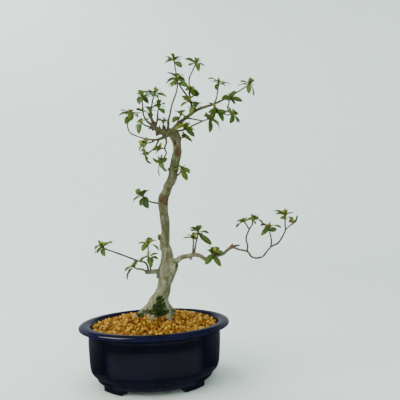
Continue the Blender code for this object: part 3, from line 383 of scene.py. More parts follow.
class BonsaiTree(bpy.types.PropertyGroup):
    """Wood, leaves and buds."""
    grain: FloatProperty(name="Bark mesh", description="Mesh size of the trunk's surface",
                         default=0.00055, unit="LENGTH")
    relief: FloatProperty(name="Bark relief", description="Height of the bark's flakes",
                          default=0.00045, unit="LENGTH")
    bark: shade_property("Bark", "#77745a", "Grey-beige bark")
    flake: shade_property("Flaked bark", "#a6a48a", "Pale grey where the bark has flaked")
    lichen: shade_property("Green bark", "#545428", "Olive film of algae on the bark")
    scar: shade_property("Scar", "#4a2a12", "Pruning scars and dead stubs")
    twig: shade_property("Twig", "#5a4232", "Young brown twigs")
    leaf: shade_property("Leaf", "#2f4a16", "Upper side of a grown leaf")
    underside: shade_property("Underside", "#5c6b34", "Paler underside of a leaf")
    young: shade_property("Young leaf", "#948f2a", "Yellow-green leaves round the bud")
    bud: shade_property("Bud", "#8a7422", "Scales of the winter bud")


def part_point(point):
    """A point of the drawing's frame, in millimetres, in the row's frame."""
    return Vector(point) * MM + MIDDLE


def make_mesh(name, vertices, faces, materials=(), smooth=True):
    """A mesh object at the origin from corners in millimetres of the drawing's frame."""
    mesh = bpy.data.meshes.new(name)
    mesh.from_pydata([part_point(corner) for corner in vertices], [], faces)
    for finish in materials:
        mesh.materials.append(finish)
    mesh.polygons.foreach_set("use_smooth", [smooth] * len(mesh.polygons))
    made = bpy.data.objects.new(name, mesh)
    bpy.context.scene.collection.objects.link(made)
    return made


def turned_out(made):
    """Merges doubles and turns a closed mesh's faces outwards."""
    work = bmesh.new()
    work.from_mesh(made.data)
    bmesh.ops.remove_doubles(work, verts=work.verts, dist=0.00001)
    bmesh.ops.recalc_face_normals(work, faces=work.faces)
    work.to_mesh(made.data)
    work.free()
    return made


def settled(made):
    """Applies an object's modifiers and leaves it as a plain mesh."""
    graph = bpy.context.evaluated_depsgraph_get()
    mesh = bpy.data.meshes.new_from_object(made.evaluated_get(graph), depsgraph=graph)
    made.modifiers.clear()
    old = made.data
    made.data = mesh
    mesh.name = made.name
    bpy.data.meshes.remove(old)
    return made


def hand_over(made, slot, *nodes):
    """Lets a finished piece ride on the object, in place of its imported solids."""
    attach(made, "root")
    if nodes:
        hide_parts(*nodes)
    return {"FINISHED"}


def per_mm(size):
    """A noise scale that gives a pattern of this size in millimetres on Object coordinates."""
    return 1 / (size * MM)


def add_node(tree, kind, inputs=None, **settings):
    """Adds a node with its settings, and its inputs as values or other nodes' outputs."""
    node = tree.nodes.new(kind)
    for name, value in settings.items():
        setattr(node, name, value)
    for name, value in (inputs or {}).items():
        socket = node.inputs[name]
        if isinstance(value, bpy.types.NodeSocket):
            tree.links.new(value, socket)
        elif hasattr(value, "__len__") and not isinstance(value, str) and len(value) == 3 \
                and socket.type == "RGBA":
            socket.default_value = (*value, 1.0)
        else:
            socket.default_value = value
    return node


def new_material(name, roughness, **sockets):
    """A Principled material; gives the material, its tree, its shader and Object coordinates."""
    made = bpy.data.materials.new(name)
    made.use_nodes = True
    tree = made.node_tree
    shader = tree.nodes["Principled BSDF"]
    shader.inputs["Roughness"].default_value = roughness
    for socket, value in sockets.items():
        shader.inputs[socket.replace("_", " ")].default_value = value
    place = add_node(tree, "ShaderNodeTexCoord").outputs["Object"]
    return made, tree, shader, place


def blended(tree, first, *layers):
    """A colour with others laid over it in turn, each as (factor output, colour)."""
    shown = first
    for factor, layer in layers:
        mix = add_node(tree, "ShaderNodeMix", {0: factor, 6: shown, 7: layer}, data_type="RGBA")
        shown = mix.outputs[2]
    return shown


def cobalt_glaze(pot):
    """Cobalt glaze, dipped and fired: glassy, nearly black where it pools, bluer where it is thin."""
    made, tree, shader, place = new_material("cobalt glaze", 0.09, IOR=1.5)
    thin = add_node(tree, "ShaderNodeAttribute", attribute_name="thin_glaze").outputs["Fac"]
    cloud = add_node(tree, "ShaderNodeTexNoise", {"Vector": place, "Scale": per_mm(18.0),
                                                   "Detail": 4.0, "Roughness": 0.6})
    drift = add_node(tree, "ShaderNodeMapRange", {0: cloud.outputs["Fac"], 1: 0.35, 2: 0.75,
                                                  3: 0.0, 4: 0.22})
    edge = add_node(tree, "ShaderNodeMath", {0: thin, 1: drift.outputs[0]}, operation="ADD",
                    use_clamp=True)
    shown = blended(tree, pot.glaze, (edge.outputs[0], pot.thin_glaze))
    tree.links.new(shown, shader.inputs["Base Color"])
    peel = add_node(tree, "ShaderNodeTexNoise", {"Vector": place, "Scale": per_mm(5.0), "Detail": 1.0})
    bump = add_node(tree, "ShaderNodeBump", {"Height": peel.outputs["Fac"], "Strength": 0.12,
                                             "Distance": 0.0004})
    tree.links.new(bump.outputs["Normal"], shader.inputs["Normal"])
    return made


def bare_stoneware(pot):
    """Stoneware clay where the pot was wiped clean to stand in the kiln: rough and brown."""
    made, tree, shader, place = new_material("bare stoneware", 0.85)
    grit = add_node(tree, "ShaderNodeTexNoise", {"Vector": place, "Scale": per_mm(0.9), "Detail": 5.0})
    shown = blended(tree, pot.clay, (grit.outputs["Fac"], colour("#2e2019")))
    tree.links.new(shown, shader.inputs["Base Color"])
    bump = add_node(tree, "ShaderNodeBump", {"Height": grit.outputs["Fac"], "Strength": 0.5,
                                             "Distance": 0.0002})
    tree.links.new(bump.outputs["Normal"], shader.inputs["Normal"])
    return made


def moulded_mesh():
    """Black polyethylene mesh, moulded: dull, with the faint grain of its mould."""
    made, tree, shader, place = new_material("moulded polyethylene mesh", 0.55)
    grain = add_node(tree, "ShaderNodeTexNoise", {"Vector": place, "Scale": per_mm(0.6)})
    shown = blended(tree, colour("#0e0e0f"), (grain.outputs["Fac"], colour("#1d1d1e")))
    tree.links.new(shown, shader.inputs["Base Color"])
    return made


def akadama(soil):
    """Baked clay granules: matt and porous, golden, some drier and paler, some fired redder."""
    made, tree, shader, place = new_material("akadama granules", 0.95)
    lot = add_node(tree, "ShaderNodeAttribute", attribute_name="firing").outputs["Fac"]
    pale = add_node(tree, "ShaderNodeMapRange", {0: lot, 1: 0.55, 2: 0.95, 3: 0.0, 4: 1.0})
    red = add_node(tree, "ShaderNodeMapRange", {0: lot, 1: 0.4, 2: 0.05, 3: 0.0, 4: 1.0})
    dust = add_node(tree, "ShaderNodeTexNoise", {"Vector": place, "Scale": per_mm(1.6),
                                                  "Detail": 6.0, "Roughness": 0.65})
    spot_amount = add_node(tree, "ShaderNodeMapRange", {0: dust.outputs["Fac"], 1: 0.5, 2: 0.75,
                                                        3: 0.0, 4: 0.45})
    shown = blended(tree, soil.golden, (pale.outputs[0], soil.pale), (red.outputs[0], soil.fired),
                    (spot_amount.outputs[0], colour("#5c3507")))
    tree.links.new(shown, shader.inputs["Base Color"])
    bump = add_node(tree, "ShaderNodeBump", {"Height": dust.outputs["Fac"], "Strength": 0.7,
                                             "Distance": 0.0003})
    tree.links.new(bump.outputs["Normal"], shader.inputs["Normal"])
    return made


def damp_soil_and_gap_shade(soil):
    """Damp crumbs under the granules: a dark red-brown that is partly their own colour and partly painted
    shade, which makes the gaps between the granules read as deep.
    """
    made, tree, shader, place = new_material("damp akadama", 0.9)
    crumb = add_node(tree, "ShaderNodeTexNoise", {"Vector": place, "Scale": per_mm(2.2), "Detail": 5.0})
    shown = blended(tree, soil.damp_and_gap_shade, (crumb.outputs["Fac"], colour("#311802")))
    tree.links.new(shown, shader.inputs["Base Color"])
    bump = add_node(tree, "ShaderNodeBump", {"Height": crumb.outputs["Fac"], "Strength": 0.8,
                                             "Distance": 0.001})
    tree.links.new(bump.outputs["Normal"], shader.inputs["Normal"])
    return made


def azalea_bark(wood):
    """Thin azalea bark: matt, grey-beige, flaking to pale grey, filmed with algae in the shade."""
    made, tree, shader, place = new_material("azalea bark", 0.85)
    girth = add_node(tree, "ShaderNodeAttribute", attribute_name="girth").outputs["Fac"]
    scar = add_node(tree, "ShaderNodeAttribute", attribute_name="scar").outputs["Fac"]
    along = add_node(tree, "ShaderNodeMapping", {"Vector": place, "Scale": (1.0, 1.0, 0.4)})
    along = along.outputs["Vector"]
    flakes = add_node(tree, "ShaderNodeTexNoise", {"Vector": along, "Scale": per_mm(5.5),
                                                    "Detail": 7.0, "Roughness": 0.68})
    film = add_node(tree, "ShaderNodeTexNoise", {"Vector": place, "Scale": per_mm(16.0),
                                                  "Detail": 5.0, "Roughness": 0.6})
    specks = add_node(tree, "ShaderNodeTexNoise", {"Vector": along, "Scale": per_mm(1.7),
                                                    "Detail": 4.0, "Roughness": 0.7})
    cracks = add_node(tree, "ShaderNodeTexVoronoi", {"Vector": along, "Scale": per_mm(2.6)},
                      feature="DISTANCE_TO_EDGE")
    pale = add_node(tree, "ShaderNodeMapRange", {0: flakes.outputs["Fac"], 1: 0.47, 2: 0.62})
    green = add_node(tree, "ShaderNodeMapRange", {0: film.outputs["Fac"], 1: 0.47, 2: 0.68, 4: 0.75})
    brown = add_node(tree, "ShaderNodeMapRange", {0: specks.outputs["Fac"], 1: 0.53, 2: 0.64, 4: 0.6})
    line = add_node(tree, "ShaderNodeMapRange", {0: cracks.outputs["Distance"], 1: 0.05, 2: 0.0,
                                                 4: 0.5})
    young = add_node(tree, "ShaderNodeMapRange", {0: girth, 1: 0.42, 2: 0.12})
    height = add_node(tree, "ShaderNodeSeparateXYZ", {0: place}).outputs["Z"]
    upper = add_node(tree, "ShaderNodeMapRange", {0: height, 1: 120 * MM, 2: 170 * MM, 4: 0.75})
    weathered = add_node(tree, "ShaderNodeMapRange", {0: height, 1: 120 * MM, 2: 170 * MM, 3: 0.95,
                                                      4: 0.35})
    pale = add_node(tree, "ShaderNodeMath", {0: pale.outputs[0], 1: weathered.outputs[0]},
                    operation="MULTIPLY")
    shown = blended(tree, wood.bark, (upper.outputs[0], colour("#4c4a26")),
                    (green.outputs[0], wood.lichen), (pale.outputs[0], wood.flake),
                    (brown.outputs[0], colour("#443820")), (line.outputs[0], colour("#3a3018")),
                    (young.outputs[0], wood.twig), (scar, wood.scar))
    tree.links.new(shown, shader.inputs["Base Color"])
    heights = add_node(tree, "ShaderNodeMath", {0: flakes.outputs["Fac"], 1: specks.outputs["Fac"]},
                       operation="ADD")
    bump = add_node(tree, "ShaderNodeBump", {"Height": heights.outputs[0], "Strength": 0.6,
                                             "Distance": 0.0004})
    tree.links.new(bump.outputs["Normal"], shader.inputs["Normal"])
    return made


def azalea_leaf(wood):
    """Evergreen azalea leaf: waxy, sunk veins, paler below, lit through when the light is behind."""
    made, tree, shader, _ = new_material("azalea leaf", 0.38, IOR=1.42)
    age = add_node(tree, "ShaderNodeAttribute", attribute_name="age").outputs["Fac"]
    lot = add_node(tree, "ShaderNodeAttribute", attribute_name="tone").outputs["Fac"]
    under = add_node(tree, "ShaderNodeAttribute", attribute_name="under").outputs["Fac"]
    grid = add_node(tree, "ShaderNodeUVMap", uv_map="leaf")
    axes = add_node(tree, "ShaderNodeSeparateXYZ", {0: grid.outputs["UV"]})
    along, across = axes.outputs["X"], axes.outputs["Y"]
    off_rib = add_node(tree, "ShaderNodeMath", {0: across, 1: 0.5}, operation="SUBTRACT")
    off_rib = add_node(tree, "ShaderNodeMath", {0: off_rib.outputs[0]}, operation="ABSOLUTE").outputs[0]
    rib = add_node(tree, "ShaderNodeMapRange", {0: off_rib, 1: 0.07, 2: 0.02})
    slant = add_node(tree, "ShaderNodeMath", {0: off_rib, 1: -0.5, 2: along}, operation="MULTIPLY_ADD")
    wave = add_node(tree, "ShaderNodeMath", {0: slant.outputs[0], 1: math.tau * 7}, operation="MULTIPLY")
    wave = add_node(tree, "ShaderNodeMath", {0: wave.outputs[0]}, operation="SINE")
    vein = add_node(tree, "ShaderNodeMapRange", {0: wave.outputs[0], 1: 0.72, 2: 1.0})
    veins = add_node(tree, "ShaderNodeMath", {0: rib.outputs[0], 1: vein.outputs[0]}, operation="MAXIMUM")
    paler = add_node(tree, "ShaderNodeMath", {0: veins.outputs[0], 1: 0.35}, operation="MULTIPLY")
    light = add_node(tree, "ShaderNodeMapRange", {0: lot, 1: 0.55, 2: 1.0, 4: 0.6})
    deep = add_node(tree, "ShaderNodeMapRange", {0: lot, 1: 0.4, 2: 0.0, 4: 0.6})
    rust = add_node(tree, "ShaderNodeMapRange", {0: lot, 1: 0.05, 2: 0.0, 4: 0.8})
    young = add_node(tree, "ShaderNodeMath", {0: age, 1: 1.0}, operation="MINIMUM", use_clamp=True)
    foot = add_node(tree, "ShaderNodeMapRange", {0: along, 1: 0.22, 2: 0.0, 4: 0.55})
    shown = blended(tree, wood.leaf, (light.outputs[0], colour("#4d6a20")),
                    (deep.outputs[0], colour("#1c2a0c")), (rust.outputs[0], colour("#46290f")),
                    (young.outputs[0], wood.young), (paler.outputs[0], colour("#8a9448")),
                    (foot.outputs[0], colour("#8a8230")), (under, wood.underside))
    tree.links.new(shown, shader.inputs["Base Color"])
    bump = add_node(tree, "ShaderNodeBump", {"Height": veins.outputs[0], "Strength": 0.5,
                                             "Distance": 0.0002}, invert=True)
    tree.links.new(bump.outputs["Normal"], shader.inputs["Normal"])
    shader.inputs["Subsurface Weight"].default_value = 0.2
    shader.inputs["Subsurface Radius"].default_value = (0.5, 1.0, 0.2)
    shader.inputs["Subsurface Scale"].default_value = 0.6 * MM
    return made


def bud_scales(wood):
    """Overlapping bud scales: thin and dry, olive at the foot and brown at their points."""
    made, tree, shader, _ = new_material("azalea bud scale", 0.6)
    lot = add_node(tree, "ShaderNodeAttribute", attribute_name="tone").outputs["Fac"]
    grid = add_node(tree, "ShaderNodeUVMap", uv_map="leaf")
    axes = add_node(tree, "ShaderNodeSeparateXYZ", {0: grid.outputs["UV"]})
    tip = add_node(tree, "ShaderNodeMapRange", {0: axes.outputs["X"], 1: 0.45, 2: 1.0, 4: 0.7})
    green = add_node(tree, "ShaderNodeMapRange", {0: lot, 1: 0.3, 2: 1.0, 4: 0.85})
    shown = blended(tree, wood.bud, (green.outputs[0], wood.young), (tip.outputs[0], colour("#5a3010")))
    tree.links.new(shown, shader.inputs["Base Color"])
    return made


def young_bark(wood):
    """Bark of this year's stems: smooth, red-brown, turning olive under the leaves."""
    made, tree, shader, place = new_material("young azalea bark", 0.6)
    patches = add_node(tree, "ShaderNodeTexNoise", {"Vector": place, "Scale": per_mm(3.0), "Detail": 4.0})
    shown = blended(tree, wood.twig, (patches.outputs["Fac"], colour("#5c3426")))
    tree.links.new(shown, shader.inputs["Base Color"])
    return made


def moss_green(soil):
    """Living moss: matt dark green, brighter at the points of its leaves."""
    made, tree, shader, _ = new_material("moss", 0.9)
    lot = add_node(tree, "ShaderNodeAttribute", attribute_name="tone").outputs["Fac"]
    tip = add_node(tree, "ShaderNodeMapRange", {0: lot, 1: 0.5, 2: 1.0, 4: 0.7})
    shown = blended(tree, soil.moss, (tip.outputs[0], colour("#56711f")))
    tree.links.new(shown, shader.inputs["Base Color"])
    return made


def curve_through(rows, step):
    """Rows of numbers along a smooth curve that passes through the given rows."""
    rows = [Vector(row) for row in rows]
    rows = [2 * rows[0] - rows[1], *rows, 2 * rows[-1] - rows[-2]]
    made = []
    for before, start, end, after in zip(rows, rows[1:], rows[2:], rows[3:]):
        count = max(1, round((end - start).length / step))
        for index in range(count):
            t = index / count
            made.append(0.5 * (2 * start + (end - before) * t
                               + (2 * before - 5 * start + 4 * end - after) * t ** 2
                               + (3 * start - before - 3 * end + after) * t ** 3))
    made.append(rows[-2])
    return made


def oval(inset, height, sides, start=0.0, turn=math.tau):
    """Points round the pot's plan, as far in from the lip's edge as inset gives."""
    across = LIP_LENGTH / 2 - 1.1 * inset
    deep = LIP_WIDTH / 2 - 0.88 * inset
    count = sides if turn == math.tau else sides + 1
    angles = [start + turn * step / sides for step in range(count)]
    return [(across * math.cos(a), deep * math.sin(a), height) for a in angles]


def stacked(rings):
    """Corners and faces of a body whose rings follow one another, closed at both ends."""
    count = len(rings[0])
    vertices = [corner for ring in rings for corner in ring]
    faces = [tuple(range(count))[::-1], tuple(range(len(vertices) - count, len(vertices)))]
    for level in range(len(rings) - 1):
        for side in range(count):
            after = (side + 1) % count
            faces.append((level * count + side, level * count + after,
                          (level + 1) * count + after, (level + 1) * count + side))
    return vertices, faces


def joined(shapes):
    """Corners and faces of several shapes as one list of each."""
    vertices, faces = [], []
    for corners, sides in shapes:
        first = len(vertices)
        vertices += corners
        faces += [tuple(first + index for index in side) for side in sides]
    return vertices, faces


def foot(middle, spread=math.radians(13.0), steps=10):
    """One of the pot's feet, a curved block with a softened sole."""
    outline = []
    for height, shrink in ((0.0, 1.2), (0.3, 0.6), (1.2, 0.2), (FOOT_HEIGHT + 1.0, 0.0)):
        arc = spread - shrink / 60
        outer = oval(19.4 + shrink, height, steps, middle - arc, 2 * arc)
        inner = oval(28.7 - shrink, height, steps, middle - arc, 2 * arc)
        outline.append(outer + inner[::-1])
    return stacked(outline)


def edge_thinness(profile):
    """How far the glaze runs off at each point of the profile: most at sharp outward bends."""
    thin = [0.0]
    for (a, b), (c, d), (e, f) in zip(profile, profile[1:], profile[2:]):
        first, second = Vector((a - c, d - b)), Vector((c - e, f - d))
        bend = first.cross(second) / (first.length * second.length)
        thin.append(min(0.75, max(0.0, 2.4 * bend / (first.length + second.length))))
    return thin + [0.0]


class BONSAI_OT_pot(bpy.types.Operator):
    """Oval pot with a rolled lip, a base band, four feet and two drain holes"""
    bl_idname = "bonsai.pot"
    bl_label = "Glazed pot"

    def execute(self, context):
        pot = context.scene.bonsai_pot
        profile = [tuple(row) for row in curve_through(OUTSIDE + INSIDE, 1.8 / pot.rings)]
        glaze, clay = cobalt_glaze(pot), bare_stoneware(pot)
        made = make_mesh("glazed_pot", *stacked([oval(*row, pot.sides) for row in profile]),
                         (glaze, clay))
        thin = made.data.attributes.new("thin_glaze", "FLOAT", "POINT")
        thin.data.foreach_set("value", [value for value in edge_thinness(profile)
                                        for _ in range(pot.sides)])
        turned_out(made)
        for side in (-1, 1):
            rings = [[(side * DRAIN_OFFSET + DRAIN_RADIUS * math.cos(a), DRAIN_RADIUS * math.sin(a), z)
                      for a in (math.tau * step / 48 for step in range(48))] for z in (0.0, 20.0)]
            drain = turned_out(make_mesh("drain", *stacked(rings)))
            cut = made.modifiers.new("drain", "BOOLEAN")
            cut.object = drain
            cut.operation = "DIFFERENCE"
            settled(made)
            bpy.data.objects.remove(drain)
        corner = math.radians(47.0)
        middles = (corner, math.pi - corner, math.pi + corner, -corner)
        feet = turned_out(make_mesh("feet", *joined([foot(middle) for middle in middles]),
                                    (glaze, clay)))
        work = bmesh.new()
        work.from_mesh(made.data)
        work.from_mesh(feet.data)
        bpy.data.objects.remove(feet)
        work.normal_update()
        for face in work.faces:
            low = face.calc_center_median().z < (FOOT_HEIGHT + 0.2) * MM
            face.material_index = 1 if low and face.normal.z < -0.6 else 0
            face.smooth = True
        work.to_mesh(made.data)
        work.free()
        made.data.set_sharp_from_angle(angle=math.radians(40.0))
        return hand_over(made, "cobalt_glaze", "pot")


def new_tree(name, inputs):
    """A Geometry Nodes tree with these named inputs; gives the tree, its inputs and its end."""
    tree = bpy.data.node_groups.new(name, "GeometryNodeTree")
    tree.interface.new_socket("Geometry", in_out="INPUT", socket_type="NodeSocketGeometry")
    for label, kind in inputs.items():
        tree.interface.new_socket(label, in_out="INPUT", socket_type="NodeSocket" + kind)
    tree.interface.new_socket("Geometry", in_out="OUTPUT", socket_type="NodeSocketGeometry")
    start = add_node(tree, "NodeGroupInput")
    return tree, start.outputs, add_node(tree, "NodeGroupOutput")


def run_tree(made, tree, values):
    """Gives an object the tree's result, with its inputs set by their sockets' identifiers."""
    step = made.modifiers.new(tree.name, "NODES")
    step.node_group = tree
    for socket in tree.interface.items_tree:
        if socket.in_out == "INPUT" and socket.name in values:
            step[socket.identifier] = values[socket.name]
    return settled(made)


def mesh_tree():
    """Crossing bars of a moulded mesh, as many as fit its side."""
    tree, given, end = new_tree("drain mesh", {"Side": "Float", "Bar": "Float", "Thickness": "Float",
                                               "Bars": "Int", "Pitch": "Float", "Middle": "Vector",
                                               "Finish": "Material"})
    size = add_node(tree, "ShaderNodeCombineXYZ", {0: given["Side"], 1: given["Bar"],
                                                   2: given["Thickness"]})
    bar = add_node(tree, "GeometryNodeMeshCube", {"Size": size.outputs[0]})
    start = add_node(tree, "ShaderNodeMath", {0: given["Side"], 1: given["Bar"]}, operation="SUBTRACT")
    start = add_node(tree, "ShaderNodeMath", {0: start.outputs[0], 1: -0.5}, operation="MULTIPLY")
    first = add_node(tree, "ShaderNodeCombineXYZ", {1: start.outputs[0]})
    step = add_node(tree, "ShaderNodeCombineXYZ", {1: given["Pitch"]})
    row = add_node(tree, "GeometryNodeMeshLine", {"Count": given["Bars"],
                                                  "Start Location": first.outputs[0],
                                                  "Offset": step.outputs[0]})
    bars = add_node(tree, "GeometryNodeInstanceOnPoints", {"Points": row.outputs["Mesh"],
                                                           "Instance": bar.outputs["Mesh"]})
    turned = add_node(tree, "GeometryNodeTransform", {"Geometry": bars.outputs["Instances"],
                                                      "Rotation": (0.0, 0.0, math.pi / 2)})
    both = add_node(tree, "GeometryNodeJoinGeometry", {0: bars.outputs["Instances"]})
    tree.links.new(turned.outputs["Geometry"], both.inputs[0])
    placed = add_node(tree, "GeometryNodeTransform", {"Geometry": both.outputs[0],
                                                      "Translation": given["Middle"]})
    real = add_node(tree, "GeometryNodeRealizeInstances", {0: placed.outputs["Geometry"]})
    done = add_node(tree, "GeometryNodeSetMaterial", {"Geometry": real.outputs[0],
                                                      "Material": given["Finish"]})
    tree.links.new(done.outputs[0], end.inputs[0])
    return tree


class BONSAI_OT_drain_mesh(bpy.types.Operator):
    """Squares of plastic mesh over the drain holes"""
    bl_idname = "bonsai.drain_mesh"
    bl_label = "Drain mesh"

    def execute(self, context):
        pot = context.scene.bonsai_pot
        tree, finish = mesh_tree(), moulded_mesh()
        for name in ("drain_screen_left", "drain_screen_right"):
            low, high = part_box(name)
            side = high.x - low.x
            bars = round((side - pot.mesh_bar) / (pot.mesh_cell + pot.mesh_bar)) + 1
            made = make_mesh(name.replace("screen", "mesh"), [(0, 0, 0)], [])
            run_tree(made, tree, {"Side": side, "Bar": pot.mesh_bar, "Thickness": high.z - low.z,
                                  "Bars": bars, "Pitch": (side - pot.mesh_bar) / (bars - 1),
                                  "Middle": (low + high) / 2, "Finish": finish})
            hand_over(made, "mesh_plastic", name)
        return {"FINISHED"}


def soil_level(x, y):
    """Height of the soil, mounded towards the trunk."""
    mound = 11.5 * math.exp(-((x - 5) / 36) ** 2 - ((y - 4) / 34) ** 2)
    return 63.4 - 2.4 * (x / 74) ** 2 + mound


def soil_surface(inset, drop, rings=30, sides=96):
    """Corners and faces of the soil's top, this far in from the lip and this much lower."""
    across, deep, _ = (Vector(oval(inset, 0.0, 4)[0]) + Vector(oval(inset, 0.0, 4)[1])).to_tuple()
    vertices = [(0.0, 0.0, soil_level(0.0, 0.0) - drop)]
    for ring in range(1, rings + 1):
        for step in range(sides):
            x = across * ring / rings * math.cos(math.tau * step / sides)
            y = deep * ring / rings * math.sin(math.tau * step / sides)
            vertices.append((x, y, soil_level(x, y) - drop))
    faces = [(0, 1 + step, 1 + (step + 1) % sides) for step in range(sides)]
    for ring in range(rings - 1):
        for step in range(sides):
            a, b = 1 + ring * sides + step, 1 + ring * sides + (step + 1) % sides
            faces.append((a, a + sides, b + sides, b))
    return vertices, faces


class BONSAI_OT_soil_bed(bpy.types.Operator):
    """Damp body of the soil, under the granules and down to the drain mesh, its dark colour partly painted
    shade of the gaps
    """
    bl_idname = "bonsai.soil_bed"
    bl_label = "Soil bed"

    def execute(self, context):
        sides = 96
        vertices, faces = soil_surface(13.0, 2.4, sides=sides)
        above = list(range(len(vertices) - sides, len(vertices)))
        for inset, height in INSIDE:
            ring = list(range(len(vertices), len(vertices) + sides))
            vertices += oval(inset + 0.4, max(height, FLOOR_TOP + 1.6), sides)
            for side in range(sides):
                after = (side + 1) % sides
                faces.append((above[side], above[after], ring[after], ring[side]))
            above = ring
        faces.append(tuple(above))
        made = turned_out(make_mesh("soil_bed", vertices, faces, (damp_soil_and_gap_shade(context.scene.bonsai_soil),)))
        return hand_over(made, "akadama", "soil")


def granule_form(index, rng):
    """One granule a metre across: a lump worn round at its corners."""
    work = bmesh.new()
    bmesh.ops.create_cube(work, size=1.0)
    bmesh.ops.subdivide_edges(work, edges=work.edges, cuts=1, use_grid_fill=True)
    squash = Vector((1.0, rng.uniform(0.78, 0.95), rng.uniform(0.66, 0.9)))
    for corner in work.verts:
        round_off = 0.5 + 0.22 * (corner.co.length / 0.5 - 1)
        lump = round_off * (1 + 0.4 * noise.noise(corner.co * 2.3 + Vector((7.0 * index, 0, 0))))
        corner.co = corner.co.normalized() * lump * squash
    mesh = bpy.data.meshes.new(f"granule_{index}")
    work.to_mesh(mesh)
    work.free()
    return bpy.data.objects.new(f"granule_{index}", mesh)


def granule_tree():
    """Granules scattered over a surface, no two nearer than the spacing, each turned its own way."""
    tree, given, end = new_tree("granules", {"Forms": "Collection", "Size": "Float",
                                             "Spacing": "Float", "Seed": "Int",
                                             "Finish": "Material"})
    scatter = add_node(tree, "GeometryNodeDistributePointsOnFaces",
                       {"Mesh": given["Geometry"], "Distance Min": given["Spacing"],
                        "Density Max": 900000.0, "Seed": given["Seed"]}, distribute_method="POISSON")
    forms = add_node(tree, "GeometryNodeCollectionInfo", {"Collection": given["Forms"],
                                                          "Separate Children": True,
                                                          "Reset Children": True})
    turn = add_node(tree, "FunctionNodeRandomValue", {"Min": (0.0, 0.0, 0.0),
                                                      "Max": (math.tau, math.tau, math.tau),
                                                      "Seed": given["Seed"]}, data_type="FLOAT_VECTOR")
    share = add_node(tree, "FunctionNodeRandomValue", {2: 0.66, 3: 1.22, "Seed": given["Seed"]},
                     data_type="FLOAT")
    size = add_node(tree, "ShaderNodeMath", {0: share.outputs[1], 1: given["Size"]},
                    operation="MULTIPLY")
    which = add_node(tree, "FunctionNodeRandomValue", {4: 0, 5: 5, "Seed": given["Seed"]},
                     data_type="INT")
    grains = add_node(tree, "GeometryNodeInstanceOnPoints",
                      {"Points": scatter.outputs["Points"], "Instance": forms.outputs[0],
                       "Pick Instance": True, "Instance Index": which.outputs[2],
                       "Rotation": turn.outputs[0], "Scale": size.outputs[0]})
    lot = add_node(tree, "FunctionNodeRandomValue", {2: 0.0, 3: 1.0, "Seed": given["Seed"]},
                   data_type="FLOAT")
    marked = add_node(tree, "GeometryNodeStoreNamedAttribute",
                      {"Geometry": grains.outputs[0], "Name": "firing", "Value": lot.outputs[1]},
                      data_type="FLOAT", domain="INSTANCE")
    real = add_node(tree, "GeometryNodeRealizeInstances", {0: marked.outputs[0]})
    done = add_node(tree, "GeometryNodeSetMaterial", {"Geometry": real.outputs[0],
                                                      "Material": given["Finish"]})
    tree.links.new(done.outputs[0], end.inputs[0])
    return tree


def forms_collection(name, forms):
    """A collection of small shapes, out of the scene, for a tree to place."""
    made = bpy.data.collections.new(name)
    for form in forms:
        made.objects.link(form)
    return made


def drop_forms(gathered):
    for form in list(gathered.objects):
        mesh = form.data
        bpy.data.objects.remove(form)
        bpy.data.meshes.remove(mesh)
    bpy.data.collections.remove(gathered)


class BONSAI_OT_granules(bpy.types.Operator):
    """Two layers of baked clay granules over the soil bed"""
    bl_idname = "bonsai.granules"
    bl_label = "Granules"

    def execute(self, context):
        soil = context.scene.bonsai_soil
        rng = random.Random(SEED)
        forms = forms_collection("granule forms", [granule_form(index, rng) for index in range(6)])
        tree, finish = granule_tree(), akadama(soil)
        for layer, (inset, drop) in enumerate(((15.2, 0.0), (14.8, 2.3))):
            made = make_mesh(f"soil_granules_{layer + 1}", *soil_surface(inset, drop))
            run_tree(made, tree, {"Forms": forms, "Size": soil.granule, "Spacing": soil.granule_gap,
                                  "Seed": SEED + layer, "Finish": finish})
            made.data.shade_smooth()
            hand_over(made, "akadama", "soil")
        drop_forms(forms)
        return {"FINISHED"}


def spot(x, z, depth=0.0):
    """A drawn point at its depth, in the part's own frame."""
    across, up = x - PANE_MIDDLE[0], z - PANE_MIDDLE[1]
    sight = Vector((across * math.cos(VIEW_LEAN) + up * math.sin(VIEW_LEAN), PANE_REACH,
                    up * math.cos(VIEW_LEAN) - across * math.sin(VIEW_LEAN)))
    sight = Matrix.Rotation(VIEW_PITCH, 3, "X") @ sight
    reach = (depth - EYE.y) / sight.y
    return Matrix.Rotation(-POT_TURN, 3, "Z") @ (EYE + sight * reach)


def drawn(point):
    """Where a point of the part's frame stands in the drawing: x, z."""
    sight = Matrix.Rotation(POT_TURN, 3, "Z") @ Vector(point) - EYE
    sight = Matrix.Rotation(-VIEW_PITCH, 3, "X") @ sight
    right, up = sight.x * PANE_REACH / sight.y, sight.z * PANE_REACH / sight.y
    return (right * math.cos(VIEW_LEAN) - up * math.sin(VIEW_LEAN) + PANE_MIDDLE[0],
            right * math.sin(VIEW_LEAN) + up * math.cos(VIEW_LEAN) + PANE_MIDDLE[1])


def grown(points, step):
    """Points (x, y, z, radius) along a smooth limb through drawn points."""
    return curve_through([(*spot(*point[:3]), point[3]) for point in points], step)


def tube(rows, sides, shape=None):
    """A closed tube along rows of x, y, z, radius, turned as little as it can be."""
    places = [Vector(row[:3]) for row in rows]
    headings = [(places[min(index + 1, len(rows) - 1)] - places[max(index - 1, 0)]).normalized()
                for index in range(len(rows))]
    side = headings[0].orthogonal().normalized()
    rings = []
    for index, (place, heading, row) in enumerate(zip(places, headings, rows)):
        side = (side - heading * side.dot(heading)).normalized()
        other = heading.cross(side)
        ring = []
        for step in range(sides):
            angle = math.tau * step / sides
            radius = row[3] * (shape(index / len(rows), angle) if shape else 1.0)
            ring.append(place + (side * math.cos(angle) + other * math.sin(angle)) * radius)
        rings.append(ring)
    return stacked(rings)


def gnarled(along, angle):
    """The trunk's section: three soft ribs that wander as they rise."""
    turn = 23 * along
    return 1 + 0.05 * math.sin(3 * angle + 0.9 * turn) + 0.05 * math.sin(2 * angle - turn)


